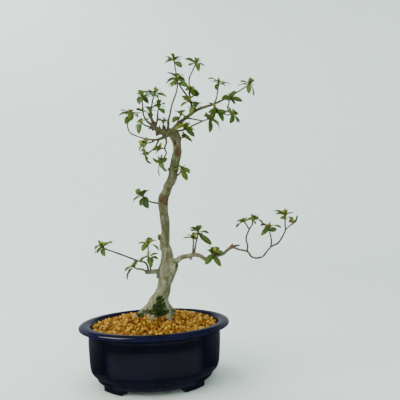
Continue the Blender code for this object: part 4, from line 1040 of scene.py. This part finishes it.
# Scars as drawn: x, z, half width, half height, how deep, how dark; below zero is at the back
FRONT, BACK = -1, 1
SCARS = ((25.7, 280.4, 2.0, 3.8, 0.6, 1.0, FRONT), (28.9, 269.0, 3.6, 6.8, 0.9, 0.8, FRONT),
         (26.6, 249.4, 2.6, 3.2, 0.8, 1.0, FRONT), (29.2, 241.6, 1.8, 4.2, 0.3, 1.0, FRONT),
         (17.8, 225.6, 1.9, 2.8, 0.4, 0.8, FRONT), (12.0, 214.2, 5.6, 6.2, -0.5, 0.75, FRONT),
         (15.2, 208.4, 3.2, 1.8, 0.3, 1.0, FRONT), (9.7, 196.0, 1.2, 1.8, 0.3, 0.8, FRONT),
         (7.2, 166.8, 1.9, 4.0, 0.8, 0.9, FRONT), (17.2, 143.4, 2.8, 9.0, 0.2, 0.45, FRONT),
         (4.2, 121.9, 2.6, 2.4, 0.3, 1.0, FRONT), (28.6, 133.0, 3.2, 3.4, 0.2, 0.8, FRONT),
         (20.0, 182.0, 1.4, 5.0, 0.2, 0.4, FRONT), (10.5, 176.0, 1.4, 4.0, 0.2, 0.35, FRONT),
         (16.0, 118.0, 1.8, 3.0, 0.3, 0.5, FRONT), (22.0, 292.0, 3.0, 2.4, 0.2, 0.7, FRONT),
         (15.5, 232.0, 3.0, 5.0, 0.8, 0.9, BACK), (14.0, 188.0, 2.4, 6.0, 0.6, 0.7, BACK),
         (13.0, 128.0, 4.0, 5.0, 0.9, 0.9, BACK), (26.0, 262.0, 2.2, 4.4, 0.6, 0.8, BACK),
         (16.0, 158.0, 2.0, 3.0, 0.4, 0.8, BACK))


def scar_at(point, normal):
    """How much scar shows at a point of the wood, and how far the scar sinks or swells it."""
    x, z = drawn(point)
    dark, sunk = 0.0, 0.0
    for middle_x, middle_z, wide, tall, depth, tone, side in SCARS:
        away = math.hypot((x - middle_x) / wide, (z - middle_z) / tall)
        if away > 2.2 or normal.y * side < -0.1:
            continue
        ragged = away + 0.35 * noise.noise(point * 0.8)
        dark = max(dark, tone * min(1.0, max(0.0, 1.9 - 1.6 * ragged)))
        rim = 0.45 * math.exp(-((away - 1.15) / 0.28) ** 2)
        sunk += depth * (rim - min(1.0, max(0.0, 1.6 - 1.5 * away)))
    return dark, sunk


def bark_relief(point, girth):
    """Height of the bark over the smooth wood: flakes on a slow flow of muscle, in millimetres."""
    flow = noise.noise(Vector((point.x / 7, point.y / 7, point.z / 26)))
    flakes = noise.fractal(Vector((point.x / 3.0, point.y / 3.0, point.z / 7.5)), 0.9, 2.1, 4)
    return 1.1 * flow * girth + flakes


class BONSAI_OT_wood(bpy.types.Operator):
    """Trunk, surface roots, branches and twigs, with flaking bark and healed scars"""
    bl_idname = "bonsai.wood"
    bl_label = "Wood"

    def execute(self, context):
        wood = context.scene.bonsai_tree
        stout = [grown(TRUNK, 2.0), *(grown(points, 2.0) for points in ROOTS),
                 *(grown(points, 1.5) for sides, points in LIMBS if sides > 5)]
        thin = [grown(points, 1.5) for sides, points in LIMBS if sides == 5]
        thin += [grown(points, 1.5) for points in SPURS]
        shapes = [tube(stout[0], 36, gnarled)] + [tube(rows, 20) for rows in stout[1:]]
        made = turned_out(make_mesh("wood", *joined(shapes), (azalea_bark(wood),)))
        fuse = made.modifiers.new("fuse", "REMESH")
        fuse.mode = "VOXEL"
        fuse.voxel_size = wood.grain
        soften = made.modifiers.new("soften", "SMOOTH")
        soften.iterations = 4
        soften.factor = 0.5
        settled(made)
        centres = [row for rows in stout for row in rows]
        finder = kdtree.KDTree(len(centres))
        for index, row in enumerate(centres):
            finder.insert(row[:3], index)
        finder.balance()
        girths, scars, places = [], [], []
        for corner in made.data.vertices:
            point = (corner.co - MIDDLE) / MM
            near = min(((abs(gap - centres[index][3]), centres[index][3])
                        for _, index, gap in finder.find_n(point, 8)))[1]
            girth = min(1.0, near / 8.0)
            dark, sunk = scar_at(point, corner.normal)
            rise = bark_relief(point, girth) * (0.4 + 0.6 * girth) * wood.relief / MM + sunk
            places.append(corner.co + corner.normal * rise * MM)
            girths.append(girth)
            scars.append(dark)
        for corner, place in zip(made.data.vertices, places):
            corner.co = place
        made.data.attributes.new("girth", "FLOAT", "POINT").data.foreach_set("value", girths)
        made.data.attributes.new("scar", "FLOAT", "POINT").data.foreach_set("value", scars)
        twigs = self.twigs(thin, made.data.materials[0])
        work = bmesh.new()
        work.from_mesh(made.data)
        work.from_mesh(twigs.data)
        work.to_mesh(made.data)
        work.free()
        bpy.data.objects.remove(twigs)
        made.data.shade_smooth()
        made.name = "trunk_with_bark"
        return hand_over(made, "azalea_bark", "trunk_and_branches")

    def twigs(self, limbs, finish):
        """The thin twigs, each a fine tube with a swelling at every leaf scar."""
        sides = 10

        def shape(along, angle):
            knot = math.sin(along * 37.0) * math.sin(along * 11.0)
            return 1.0 + 0.16 * max(0.0, knot) + 0.05 * math.sin(3 * angle + 9 * along)

        made = make_mesh("twigs", *joined([tube(rows, sides, shape) for rows in limbs]), (finish,))
        girths = [min(1.0, row[3] / 8.0) for rows in limbs for row in rows for _ in range(sides)]
        made.data.attributes.new("girth", "FLOAT", "POINT").data.foreach_set("value", girths)
        made.data.attributes.new("scar", "FLOAT", "POINT")
        return made


def node_tree(name):
    """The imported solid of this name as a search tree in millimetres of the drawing's frame."""
    work = bmesh.new()
    work.from_mesh(frame["nodes"][name].data)
    bmesh.ops.remove_doubles(work, verts=work.verts, dist=0.000001)
    for corner in work.verts:
        corner.co = (corner.co - MIDDLE) / MM
    tree = BVHTree.FromBMesh(work)
    work.free()
    return tree


# A leaf's outline: how far along, and how much of its width
OUTLINE = ((0.0, 0.1), (0.09, 0.17), (0.2, 0.46), (0.34, 0.78), (0.48, 0.95), (0.62, 1.0),
           (0.76, 0.9), (0.88, 0.64), (0.96, 0.32), (1.0, 0.05))


def leaf_form(name, arch, fold, curl, skew):
    """A leaf a metre long and wide: an arched blade, folded along its rib, its tip curled down."""
    vertices, grid = [], []
    for along, share in OUTLINE:
        rise = arch * math.sin(math.pi * along ** 0.85) - curl * max(0.0, along - 0.55) ** 2
        bend = skew * math.sin(math.pi * along)
        for across in (-1.0, -0.55, 0.0, 0.55, 1.0, 0.6, 0.0, -0.6):
            vertices.append([along, (across * share + bend) / 2,
                             rise + fold * share * abs(across) - 0.35 * fold * share * across ** 2])
            grid.append((along, 0.5 + across / 2))
        for corner in vertices[-3:]:
            corner[2] -= 0.024 * min(1.0, 0.3 + share)
    middle, faces = stacked([vertices[first:first + 8] for first in range(0, len(vertices), 8)])
    mesh = bpy.data.meshes.new(name)
    mesh.from_pydata(middle, [], faces)
    layer = mesh.uv_layers.new(name="leaf")
    for loop in mesh.loops:
        layer.data[loop.index].uv = grid[loop.vertex_index]
    under = mesh.attributes.new("under", "FLOAT", "FACE")
    under.data.foreach_set("value", [1.0 if all(index % 8 in (4, 5, 6, 7, 0) for index in face)
                                     else 0.0 for face in faces])
    mesh.shade_smooth()
    return bpy.data.objects.new(name, mesh)


def bud_form(name, scales=9):
    """A closed bud a metre long: pointed scales that wrap it in a spiral, over a plain core."""
    shapes, grid = [], []
    core = [[(0.5 * share * math.cos(a), 0.5 * share * math.sin(a), z)
             for a in (math.tau * step / 6 for step in range(6))]
            for z, share in ((-0.1, 0.4), (0.3, 0.8), (0.7, 0.5), (0.97, 0.05))]
    shapes.append(stacked(core))
    grid += [(0.3, 0.5)] * 24
    for index in range(scales):
        low = 0.5 * index / scales - 0.08
        tall = 0.5 + 0.08 * (index % 3)
        turn = math.radians(137.5) * index
        rings = []
        for along, out, wide in ((0.0, 0.3, 0.35), (0.45, 0.52, 0.5), (1.0, 0.16 + 0.02 * index, 0.04)):
            height = low + tall * along
            ring = []
            for across, lift in ((-1, 0.0), (0, 0.09), (1, 0.0)):
                angle = turn + across * wide / max(out, 0.2)
                far = out * (1 - 0.45 * max(0.0, height - 0.45)) + lift
                ring.append((far * math.cos(angle), far * math.sin(angle), height))
            rings.append(ring)
            grid += [(along, 0.0), (along, 0.5), (along, 1.0)]
        shapes.append(stacked(rings))
    mesh = bpy.data.meshes.new(name)
    mesh.from_pydata(*[joined(shapes)[0], [], joined(shapes)[1]])
    layer = mesh.uv_layers.new(name="leaf")
    for loop in mesh.loops:
        layer.data[loop.index].uv = grid[loop.vertex_index]
    mesh.shade_smooth()
    made = bpy.data.objects.new(name, mesh)
    work = bmesh.new()
    work.from_mesh(mesh)
    bmesh.ops.recalc_face_normals(work, faces=work.faces)
    work.to_mesh(mesh)
    work.free()
    return made


GROWN_FORMS, YOUNG_FORMS = (0, 1, 2, 3), (4, 5)
BUD_FORM = 6


def shoot_forms():
    """The leaves and the bud that every shoot is put together from."""
    return forms_collection("shoot forms", [
        leaf_form("form_0", 0.13, 0.05, 0.30, 0.05), leaf_form("form_1", 0.16, -0.05, 0.45, -0.08),
        leaf_form("form_2", 0.10, 0.09, 0.20, 0.10), leaf_form("form_3", 0.19, -0.02, 0.60, 0.0),
        leaf_form("form_4", 0.05, 0.16, 0.10, 0.04), leaf_form("form_5", 0.08, 0.12, 0.35, -0.06),
        bud_form("form_6")])


def shoot_tree():
    """Leaves and buds placed, turned and sized by the points' attributes, on the stems given."""
    tree, given, end = new_tree("shoot", {"Forms": "Collection", "Leaf": "Material",
                                          "Bud": "Material", "Stem": "Material"})
    fields = {name: add_node(tree, "GeometryNodeInputNamedAttribute", {"Name": name},
                             data_type=kind).outputs[0]
              for name, kind in (("form", "INT"), ("turn", "QUATERNION"), ("reach", "FLOAT_VECTOR"))}
    is_leaf = add_node(tree, "FunctionNodeCompare", {2: fields["form"], 3: -1}, data_type="INT",
                       operation="GREATER_THAN")
    parts = add_node(tree, "GeometryNodeSeparateGeometry", {"Geometry": given["Geometry"],
                                                            "Selection": is_leaf.outputs[0]})
    forms = add_node(tree, "GeometryNodeCollectionInfo", {"Collection": given["Forms"],
                                                          "Separate Children": True,
                                                          "Reset Children": True})
    placed = add_node(tree, "GeometryNodeInstanceOnPoints",
                      {"Points": parts.outputs["Selection"], "Instance": forms.outputs[0],
                       "Pick Instance": True, "Instance Index": fields["form"],
                       "Rotation": fields["turn"], "Scale": fields["reach"]})
    both = add_node(tree, "GeometryNodeJoinGeometry", {0: parts.outputs["Inverted"]})
    tree.links.new(placed.outputs[0], both.inputs[0])
    real = add_node(tree, "GeometryNodeRealizeInstances", {0: both.outputs[0]})
    leafy = add_node(tree, "GeometryNodeSetMaterial", {"Geometry": real.outputs[0],
                                                       "Material": given["Leaf"]})
    is_bud = add_node(tree, "FunctionNodeCompare", {2: fields["form"], 3: BUD_FORM},
                      data_type="INT", operation="EQUAL")
    budded = add_node(tree, "GeometryNodeSetMaterial", {"Geometry": leafy.outputs[0],
                                                        "Selection": is_bud.outputs[0],
                                                        "Material": given["Bud"]})
    is_stem = add_node(tree, "FunctionNodeCompare", {2: fields["form"], 3: 0}, data_type="INT",
                       operation="LESS_THAN")
    done = add_node(tree, "GeometryNodeSetMaterial", {"Geometry": budded.outputs[0],
                                                      "Selection": is_stem.outputs[0],
                                                      "Material": given["Stem"]})
    tree.links.new(done.outputs[0], end.inputs[0])
    return tree


def leaf_tips(heart, seen, extra, rng):
    """The tips of a whorl's leaves and how their faces turn: those drawn, then those of a rule."""
    x, z, depth = heart
    tips = []
    for tip_x, tip_z, side in seen:
        flat = math.hypot(tip_x - x, tip_z - z)
        length = max(LEAF_LENGTH * rng.uniform(0.86, 1.06), flat + 1.0)
        away = math.copysign(math.sqrt(length ** 2 - flat ** 2), side)
        tips.append(((tip_x, tip_z, depth + away), FACING if side < -1 else Vector()))
    for index in range(extra):
        angle = math.radians(137.5) * index + rng.uniform(0.0, 1.2)
        flat = rng.uniform(5.0, 9.0)
        length = LEAF_LENGTH * rng.uniform(0.72, 0.92)
        side = 1 if index % 3 != 2 else -1
        tips.append(((x + flat * math.cos(angle), z + flat * math.sin(angle) * 0.8 + 2.0,
                      depth + side * math.sqrt(length ** 2 - flat ** 2)), Vector()))
    return tips


def packed_leaf(root, tip, axis, face, rng, solid):
    """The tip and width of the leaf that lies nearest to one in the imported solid."""
    width = LEAF_WIDTH * rng.uniform(0.86, 1.1)
    rng.uniform(0.05, 0.12)
    sideways = (tip - root).cross(axis).normalized()
    best = (FARTHEST_MATCH, None)
    for turn, shrink in ((0, 1), (14, 1), (-14, 1), (26, 0.95), (-26, 0.95), (14, 0.8), (-14, 0.8),
                         (40, 0.85), (-40, 0.85), (26, 0.65), (-26, 0.65)):
        for about in (axis, sideways):
            reach = Matrix.Rotation(math.radians(turn), 3, about) @ ((tip - root) * shrink)
            heading = reach.normalized()
            side = heading.cross(face).normalized() * width / 2 * 0.84
            at = root + reach * 0.74
            away = 2 * solid.find_nearest(root + reach)[3] + sum(
                solid.find_nearest(at + out)[3] for out in (side, -side))
            best = min(best, (away, (root + reach, width)), key=lambda found: found[0])
    return best[1]


def inside_box(point, margin):
    """Whether a point is inside the solids' box, by this margin in millimetres."""
    low, high = CAD_BOX
    return all(low[axis] + margin * MM < side < high[axis] - margin * MM
               for axis, side in enumerate(part_point(point)))


def shortened(root, reach):
    """A leaf's reach, made shorter until its tip and its broad middle are inside the box."""
    for _ in range(20):
        if inside_box(root + reach, TIP_EDGE) and inside_box(root + reach * 0.6, LEAF_EDGE):
            break
        reach = reach * 0.92
    return reach


def turned_to(heading, face):
    """The rotation that lays a form's length along heading, with its upper side to face."""
    face = (face - heading * face.dot(heading)).normalized()
    return Matrix((heading, face.cross(heading), face)).transposed().to_quaternion()


class BONSAI_OT_shoots(bpy.types.Operator):
    """Leafy shoots: a stem, whorls of narrow arched leaves, young leaves and a bud in each heart"""
    bl_idname = "bonsai.shoots"
    bl_label = "Leafy shoots"

    def execute(self, context):
        wood = context.scene.bonsai_tree
        forms, tree = shoot_forms(), shoot_tree()
        finishes = {"Forms": forms, "Leaf": azalea_leaf(wood), "Bud": bud_scales(wood),
                    "Stem": young_bark(wood)}
        drawn_draws, own_draws = random.Random(SEED), random.Random(SEED + 1)
        for name in SHOOTS:
            self.shoot(name, drawn_draws, own_draws, tree, finishes)
        drop_forms(forms)
        return {"FINISHED"}

    def shoot(self, name, drawn_draws, own_draws, tree, finishes):
        start, whorls = SHOOTS[name]
        solid = node_tree("shoot_" + name)
        start = spot(*start)
        hearts = [spot(*whorl[0]) for whorl in whorls]
        path = [start, *hearts]
        points = []
        for level, (heart, length, seen, extra) in enumerate(whorls):
            along = hearts[level] - path[level]
            axis = (along.normalized() + Vector((0, 0, 0.8))).normalized()
            step = along.normalized() * min(1.1, 0.28 * along.length)
            for index, (tip, facing) in enumerate(leaf_tips(heart, seen, extra, drawn_draws)):
                root = hearts[level] - step * (0.3 + index % 3)
                found = packed_leaf(root, spot(*tip), axis, axis + facing, drawn_draws, solid)
                if found:
                    points.append(self.leaf(root, *found, axis + facing, own_draws))
            last = level == len(whorls) - 1
            points += self.heart(hearts[level], axis, length, 6 if last else 3, 2 + 2 * extra,
                                 own_draws)
        rows = [(*place, radius) for place, radius in
                zip(path, (0.95, 0.9, 0.85))] if len(path) > 2 else [(*start, 0.95), (*hearts[0], 0.85)]
        self.build("shoot_" + name, curve_through(rows, 1.4), points, tree, finishes)

    def leaf(self, root, tip, width, face, rng):
        reach = shortened(root, tip - root)
        width *= reach.length / (tip - root).length
        lean = Matrix.Rotation(math.radians(rng.uniform(-22, 22)), 3, reach.normalized()) @ face
        size = (reach.length, width * rng.uniform(1.08, 1.26), reach.length * rng.uniform(0.75, 1.15))
        age = rng.choice((0.0, 0.0, 0.0, 0.08, 0.2))
        return (root, turned_to(reach.normalized(), lean), size, rng.choice(GROWN_FORMS), age,
                rng.random())

    def heart(self, place, axis, length, young, middling, rng):
        """The bud of a whorl, the young leaves that stand round it and the middling ones outside."""
        points = []
        if length:
            size = max(5.0, length * 1.2)
            points.append((place - axis * 0.6, Vector((0, 0, 1)).rotation_difference(axis),
                           (3.0, 3.0, size), BUD_FORM, 0.0, rng.random()))
        first = rng.uniform(0.0, math.tau)
        upright = 2.5 if length > 8 else 1.0
        rules = ([(YOUNG_FORMS, (0.3, 1.5), upright, (4.5, 9.0), (0.36, 0.48), (0.6, 1.0))] * young
                 + [(GROWN_FORMS, (-0.3, 0.45), 1.0, (9.0, 13.0), (0.34, 0.42), (0.0, 0.35))] * middling)
        for index, (forms, rise, stand, reach, wide, age) in enumerate(rules):
            out = Matrix.Rotation(first + math.radians(137.5) * index, 3, axis) @ axis.orthogonal()
            heading = (axis * rng.uniform(*rise) * stand + out.normalized()).normalized()
            reach = shortened(place, heading * rng.uniform(*reach)).length
            points.append((place - axis * 0.3 + heading * 0.3, turned_to(heading, axis + FACING * 0.4),
                           (reach, reach * rng.uniform(*wide), reach), rng.choice(forms),
                           rng.uniform(*age), rng.random()))
        return points

    def build(self, name, stem, points, tree, finishes):
        corners, faces = tube(stem, 8)
        count = len(corners)
        made = make_mesh(name + "_leafed", corners + [point[0] for point in points], faces)
        blank = [(Quaternion(), (1, 1, 1), -1, 0.0, 0.5)] * count
        rows = blank + [point[1:] for point in points]
        for label, kind, key, values in (
                ("turn", "QUATERNION", "value", [n for row in rows for n in row[0]]),
                ("reach", "FLOAT_VECTOR", "vector", [n * MM for row in rows for n in row[1]]),
                ("form", "INT", "value", [row[2] for row in rows]),
                ("age", "FLOAT", "value", [row[3] for row in rows]),
                ("tone", "FLOAT", "value", [row[4] for row in rows])):
            made.data.attributes.new(label, kind, "POINT").data.foreach_set(key, values)
        run_tree(made, tree, finishes)
        for label in ("turn", "reach", "form"):
            left = made.data.attributes.get(label)
            if left:
                made.data.attributes.remove(left)
        hand_over(made, "azalea_leaf", name)


def tuft_form(name, rng, spikes=7):
    """A moss tuft a metre high: short pointed leaves that lean out from one place."""
    shapes = []
    for index in range(spikes):
        turn = math.tau * index / spikes + rng.uniform(-0.3, 0.3)
        lean = rng.uniform(0.15, 0.9) if index else 0.0
        tall = rng.uniform(0.6, 1.0)
        way = Vector((math.cos(turn) * math.sin(lean), math.sin(turn) * math.sin(lean), math.cos(lean)))
        side = way.orthogonal().normalized() * 0.16
        ring = [Matrix.Rotation(math.tau * step / 3, 3, way) @ side for step in range(3)]
        corners = [way * 0.02 + out for out in ring] + [way * 0.5 * tall + out * 0.9 for out in ring]
        corners.append(way * tall)
        faces = [(2, 1, 0)] + [(step, (step + 1) % 3, 3 + (step + 1) % 3, 3 + step) for step in range(3)]
        faces += [(3 + step, 3 + (step + 1) % 3, 6) for step in range(3)]
        shapes.append((corners, faces))
    mesh = bpy.data.meshes.new(name)
    corners, faces = joined(shapes)
    mesh.from_pydata(corners, [], faces)
    return bpy.data.objects.new(name, mesh)


def tuft_tree():
    """Tufts on points, turned and sized by the points' attributes."""
    tree, given, end = new_tree("moss tufts", {"Forms": "Collection", "Height": "Float",
                                               "Seed": "Int", "Finish": "Material"})
    turn = add_node(tree, "GeometryNodeInputNamedAttribute", {"Name": "turn"}, data_type="QUATERNION")
    forms = add_node(tree, "GeometryNodeCollectionInfo", {"Collection": given["Forms"],
                                                          "Separate Children": True,
                                                          "Reset Children": True})
    which = add_node(tree, "FunctionNodeRandomValue", {4: 0, 5: 3, "Seed": given["Seed"]},
                     data_type="INT")
    share = add_node(tree, "FunctionNodeRandomValue", {2: 0.55, 3: 1.25, "Seed": given["Seed"]},
                     data_type="FLOAT")
    size = add_node(tree, "ShaderNodeMath", {0: share.outputs[1], 1: given["Height"]},
                    operation="MULTIPLY")
    placed = add_node(tree, "GeometryNodeInstanceOnPoints",
                      {"Points": given["Geometry"], "Instance": forms.outputs[0],
                       "Pick Instance": True, "Instance Index": which.outputs[2],
                       "Rotation": turn.outputs[0], "Scale": size.outputs[0]})
    real = add_node(tree, "GeometryNodeRealizeInstances", {0: placed.outputs[0]})
    done = add_node(tree, "GeometryNodeSetMaterial", {"Geometry": real.outputs[0],
                                                      "Material": given["Finish"]})
    tree.links.new(done.outputs[0], end.inputs[0])
    return tree


# Where moss grows, as drawn: x, z, half width, half height, tufts
MOSS = ((8.0, 93.0, 4.6, 4.6, 90), (7.0, 84.4, 7.8, 5.6, 190), (5.0, 76.8, 9.6, 4.4, 180),
        (-7.0, 78.4, 6.0, 3.0, 50), (14.0, 78.0, 5.0, 3.0, 46), (-16.0, 74.4, 5.0, 2.6, 34),
        (24.0, 78.0, 4.0, 1.8, 14))


class BONSAI_OT_moss(bpy.types.Operator):
    """Moss tufts on the foot of the trunk and between the granules before it"""
    bl_idname = "bonsai.moss"
    bl_label = "Moss"

    def execute(self, context):
        soil = context.scene.bonsai_soil
        rng = random.Random(SEED)
        grounds = [bpy.data.objects[name].data for name in
                   ("trunk_with_bark", "soil_granules_1", "soil_granules_2")]
        work = bmesh.new()
        for ground in grounds:
            work.from_mesh(ground)
        for corner in work.verts:
            corner.co = (corner.co - MIDDLE) / MM
        ground = BVHTree.FromBMesh(work)
        work.free()
        eye = Matrix.Rotation(-POT_TURN, 3, "Z") @ EYE
        places, turns, tones = [], [], []
        for x, z, wide, tall, count in MOSS:
            for _ in range(count):
                out, angle = math.sqrt(rng.random()), rng.uniform(0.0, math.tau)
                sight = spot(x + wide * out * math.cos(angle), z + tall * out * math.sin(angle)) - eye
                hit, normal, _, _ = ground.ray_cast(eye, sight.normalized())
                if not hit:
                    continue
                up = (normal + Vector((rng.uniform(-0.4, 0.4), rng.uniform(-0.4, 0.4),
                                       rng.uniform(0.0, 0.5)))).normalized()
                turn = Vector((0, 0, 1)).rotation_difference(up)
                places.append(hit - normal * 0.3)
                turns += list(turn)
                tones.append(rng.random())
        made = make_mesh("foot_moss", places, [])
        made.data.attributes.new("turn", "QUATERNION", "POINT").data.foreach_set("value", turns)
        made.data.attributes.new("tone", "FLOAT", "POINT").data.foreach_set("value", tones)
        forms = forms_collection("tuft forms", [tuft_form(f"tuft_{index}", rng) for index in range(4)])
        run_tree(made, tuft_tree(), {"Forms": forms, "Height": soil.tuft, "Seed": SEED,
                                     "Finish": moss_green(soil)})
        made.data.attributes.remove(made.data.attributes["turn"])
        drop_forms(forms)
        return hand_over(made, "azalea_leaf")


def studio_paper():
    """Pale grey-green paper sweep, matt, with no sheen to mirror the glaze's highlights."""
    made, tree, shader, place = new_material("studio paper", 0.95)
    fleck = add_node(tree, "ShaderNodeTexNoise", {"Vector": place, "Scale": per_mm(40.0), "Detail": 3.0})
    shown = blended(tree, colour("#e9f2ee"), (fleck.outputs["Fac"], colour("#e3ebe8")))
    tree.links.new(shown, shader.inputs["Base Color"])
    shader.inputs["Specular IOR Level"].default_value = 0.1
    return made


def glowing_reflection_card(strength):
    """A grey-blue glow on a black card, seen only mirrored: a painted reflection of a dim room in the
    glaze.
    """
    made, tree, shader, _ = new_material("lit card", 1.0)
    shader.inputs["Base Color"].default_value = colour("#000000")
    shader.inputs["Emission Color"].default_value = colour("#cfd6e2")
    glow = add_node(tree, "ShaderNodeAttribute", attribute_name="glow").outputs["Fac"]
    fading = add_node(tree, "ShaderNodeMath", {0: glow, 1: strength}, operation="MULTIPLY")
    tree.links.new(fading.outputs[0], shader.inputs["Emission Strength"])
    return made


def add_light(name, place, aim, size, watts, tint, mirrored):
    lamp = bpy.data.lights.new(name, "AREA")
    lamp.shape = "RECTANGLE"
    lamp.size, lamp.size_y = size
    lamp.energy = watts
    lamp.color = colour(tint, False)
    made = bpy.data.objects.new(name, lamp)
    made.location = place
    made.visible_glossy = mirrored
    made.rotation_euler = (Vector(aim) - Vector(place)).to_track_quat("-Z", "Y").to_euler()
    bpy.context.scene.collection.objects.link(made)


class BONSAI_OT_studio(bpy.types.Operator):
    """Pale floor and wall in one sweep, soft light from above and the front view's camera"""
    bl_idname = "bonsai.studio"
    bl_label = "Studio"

    def execute(self, context):
        self.sweep()
        self.light(context)
        self.camera(context)
        return {"FINISHED"}

    def sweep(self):
        """A round floor that curves up into a wall, well outside the camera.

        The glaze mirrors two dim cards instead of the paper, as the pot in the photo mirrors
        a dim room: one low in front for the pot's side, one at the back for its lip.
        """
        paper = studio_paper()
        curve = [(1150.0 + 750.0 * math.sin(a), 750.0 - 750.0 * math.cos(a))
                 for a in (math.radians(step * 7.5) for step in range(13))]
        self.band("studio_wall", [(900.0, 0.0), *curve, (1900.0, 2400.0)], 0, 360, paper)
        self.band("studio_floor", [(0.1, 0.0), (900.0, 0.0)], 0, 360, paper)
        # Two glowing cards that only the glaze mirrors: painted reflections of a dim room, low in front
        # and at the back
        low = [(900.0, -560.0, 0.0), (900.0, -480.0, 0.8), (900.0, -300.0, 1.0), (900.0, -215.0, 0.0)]
        self.card("studio_front_card", low, 188, 352, 0.45)
        back = [(1850.0, -900.0, 0.0), (1850.0, -300.0, 0.5), (1850.0, 0.0, 1.0),
                (1850.0, 1100.0, 1.0), (1850.0, 1500.0, 0.0)]
        self.card("studio_back_card", back, -10, 190, 0.6)

    def band(self, name, profile, first, last, finish, steps=96):
        """Part of a turned surface round the pot, from one angle to another."""
        angles = [math.radians(first + (last - first) * step / steps) for step in range(steps + 1)]
        vertices = [(reach * math.cos(angle), reach * math.sin(angle), height)
                    for reach, height in profile for angle in angles]
        row = steps + 1
        faces = [(a, a + row, a + row + 1, a + 1) for ring in range(len(profile) - 1)
                 for a in range(ring * row, ring * row + steps)]
        made = make_mesh(name, vertices, faces, (finish,))
        made.visible_glossy = False
        return made

    def card(self, name, rows, first, last, strength, steps=96):
        """A glowing band that only the glaze mirrors, a painted reflection; its glow fades out towards the
        card's sides.
        """
        made = self.band(name, [row[:2] for row in rows], first, last, glowing_reflection_card(strength), steps)
        made.visible_glossy = True
        made.visible_camera = made.visible_diffuse = made.visible_shadow = False
        fade = [math.sin(math.pi * min(0.5, 4 * step / steps, 4 * (1 - step / steps)))
                for step in range(steps + 1)]
        glow = [row[2] * share for row in rows for share in fade]
        made.data.attributes.new("glow", "FLOAT", "POINT").data.foreach_set("value", glow)

    def light(self, context):
        world = bpy.data.worlds.new("studio light")
        world.use_nodes = True
        sky = world.node_tree.nodes["Background"]
        sky.inputs["Color"].default_value = colour("#dfe8ee")
        sky.inputs["Strength"].default_value = 0.12
        context.scene.world = world
        add_light("window", (-1.4, -0.7, 1.3), (0, 0, 0.2), (1.3, 1.3), 30.0, "#fffaf0", True)
        add_light("ceiling", (0.0, -0.1, 2.1), (0.0, 0.0, 0), (1.6, 1.6), 31.0, "#f6fbff", False)
        add_light("wall", (-1.0, 0.7, 2.0), (-0.8, 1.9, 0.8), (1.4, 0.6), 27.0, "#effff8", False)

    def camera(self, context):
        lens = bpy.data.cameras.new("front camera")
        lens.lens = 34.2
        lens.sensor_width = 36.0
        lens.clip_start = 0.01
        made = bpy.data.objects.new("front camera", lens)
        eye = Matrix.Rotation(-POT_TURN, 3, "Z") @ EYE * MM + MIDDLE
        made.matrix_world = (Matrix.Translation(eye) @ Matrix.Rotation(-POT_TURN, 4, "Z")
                             @ Matrix.Rotation(math.radians(90) + VIEW_PITCH, 4, "X")
                             @ Matrix.Rotation(-VIEW_LEAN, 4, "Z"))
        context.scene.collection.objects.link(made)
        context.scene.camera = made


OPERATORS = (BONSAI_OT_pot, BONSAI_OT_drain_mesh, BONSAI_OT_soil_bed, BONSAI_OT_granules,
             BONSAI_OT_wood, BONSAI_OT_shoots, BONSAI_OT_moss, BONSAI_OT_studio)


class BONSAI_PT_panel(bpy.types.Panel):
    """Sizes and colours of the bonsai, and a button for each of its pieces"""
    bl_idname = "BONSAI_PT_panel"
    bl_label = "Bonsai"
    bl_space_type = "VIEW_3D"
    bl_region_type = "UI"
    bl_category = "Bonsai"

    def draw(self, context):
        for settings in (context.scene.bonsai_pot, context.scene.bonsai_soil,
                         context.scene.bonsai_tree):
            for name in settings.__annotations__:
                self.layout.prop(settings, name)
        for operator in OPERATORS:
            self.layout.operator(operator.bl_idname)


SETTINGS = {"bonsai_pot": BonsaiPot, "bonsai_soil": BonsaiSoil, "bonsai_tree": BonsaiTree}


def register():
    for made in (*SETTINGS.values(), *OPERATORS, BONSAI_PT_panel):
        bpy.utils.register_class(made)
    for name, settings in SETTINGS.items():
        setattr(bpy.types.Scene, name, PointerProperty(type=settings))


def unregister():
    for name in SETTINGS:
        delattr(bpy.types.Scene, name)
    for made in (BONSAI_PT_panel, *OPERATORS[::-1], *SETTINGS.values()):
        bpy.utils.unregister_class(made)


def main():
    register()
    for operator in OPERATORS:
        group, name = operator.bl_idname.split(".")
        getattr(getattr(bpy.ops, group), name)()


if __name__ == "__main__":
    main()
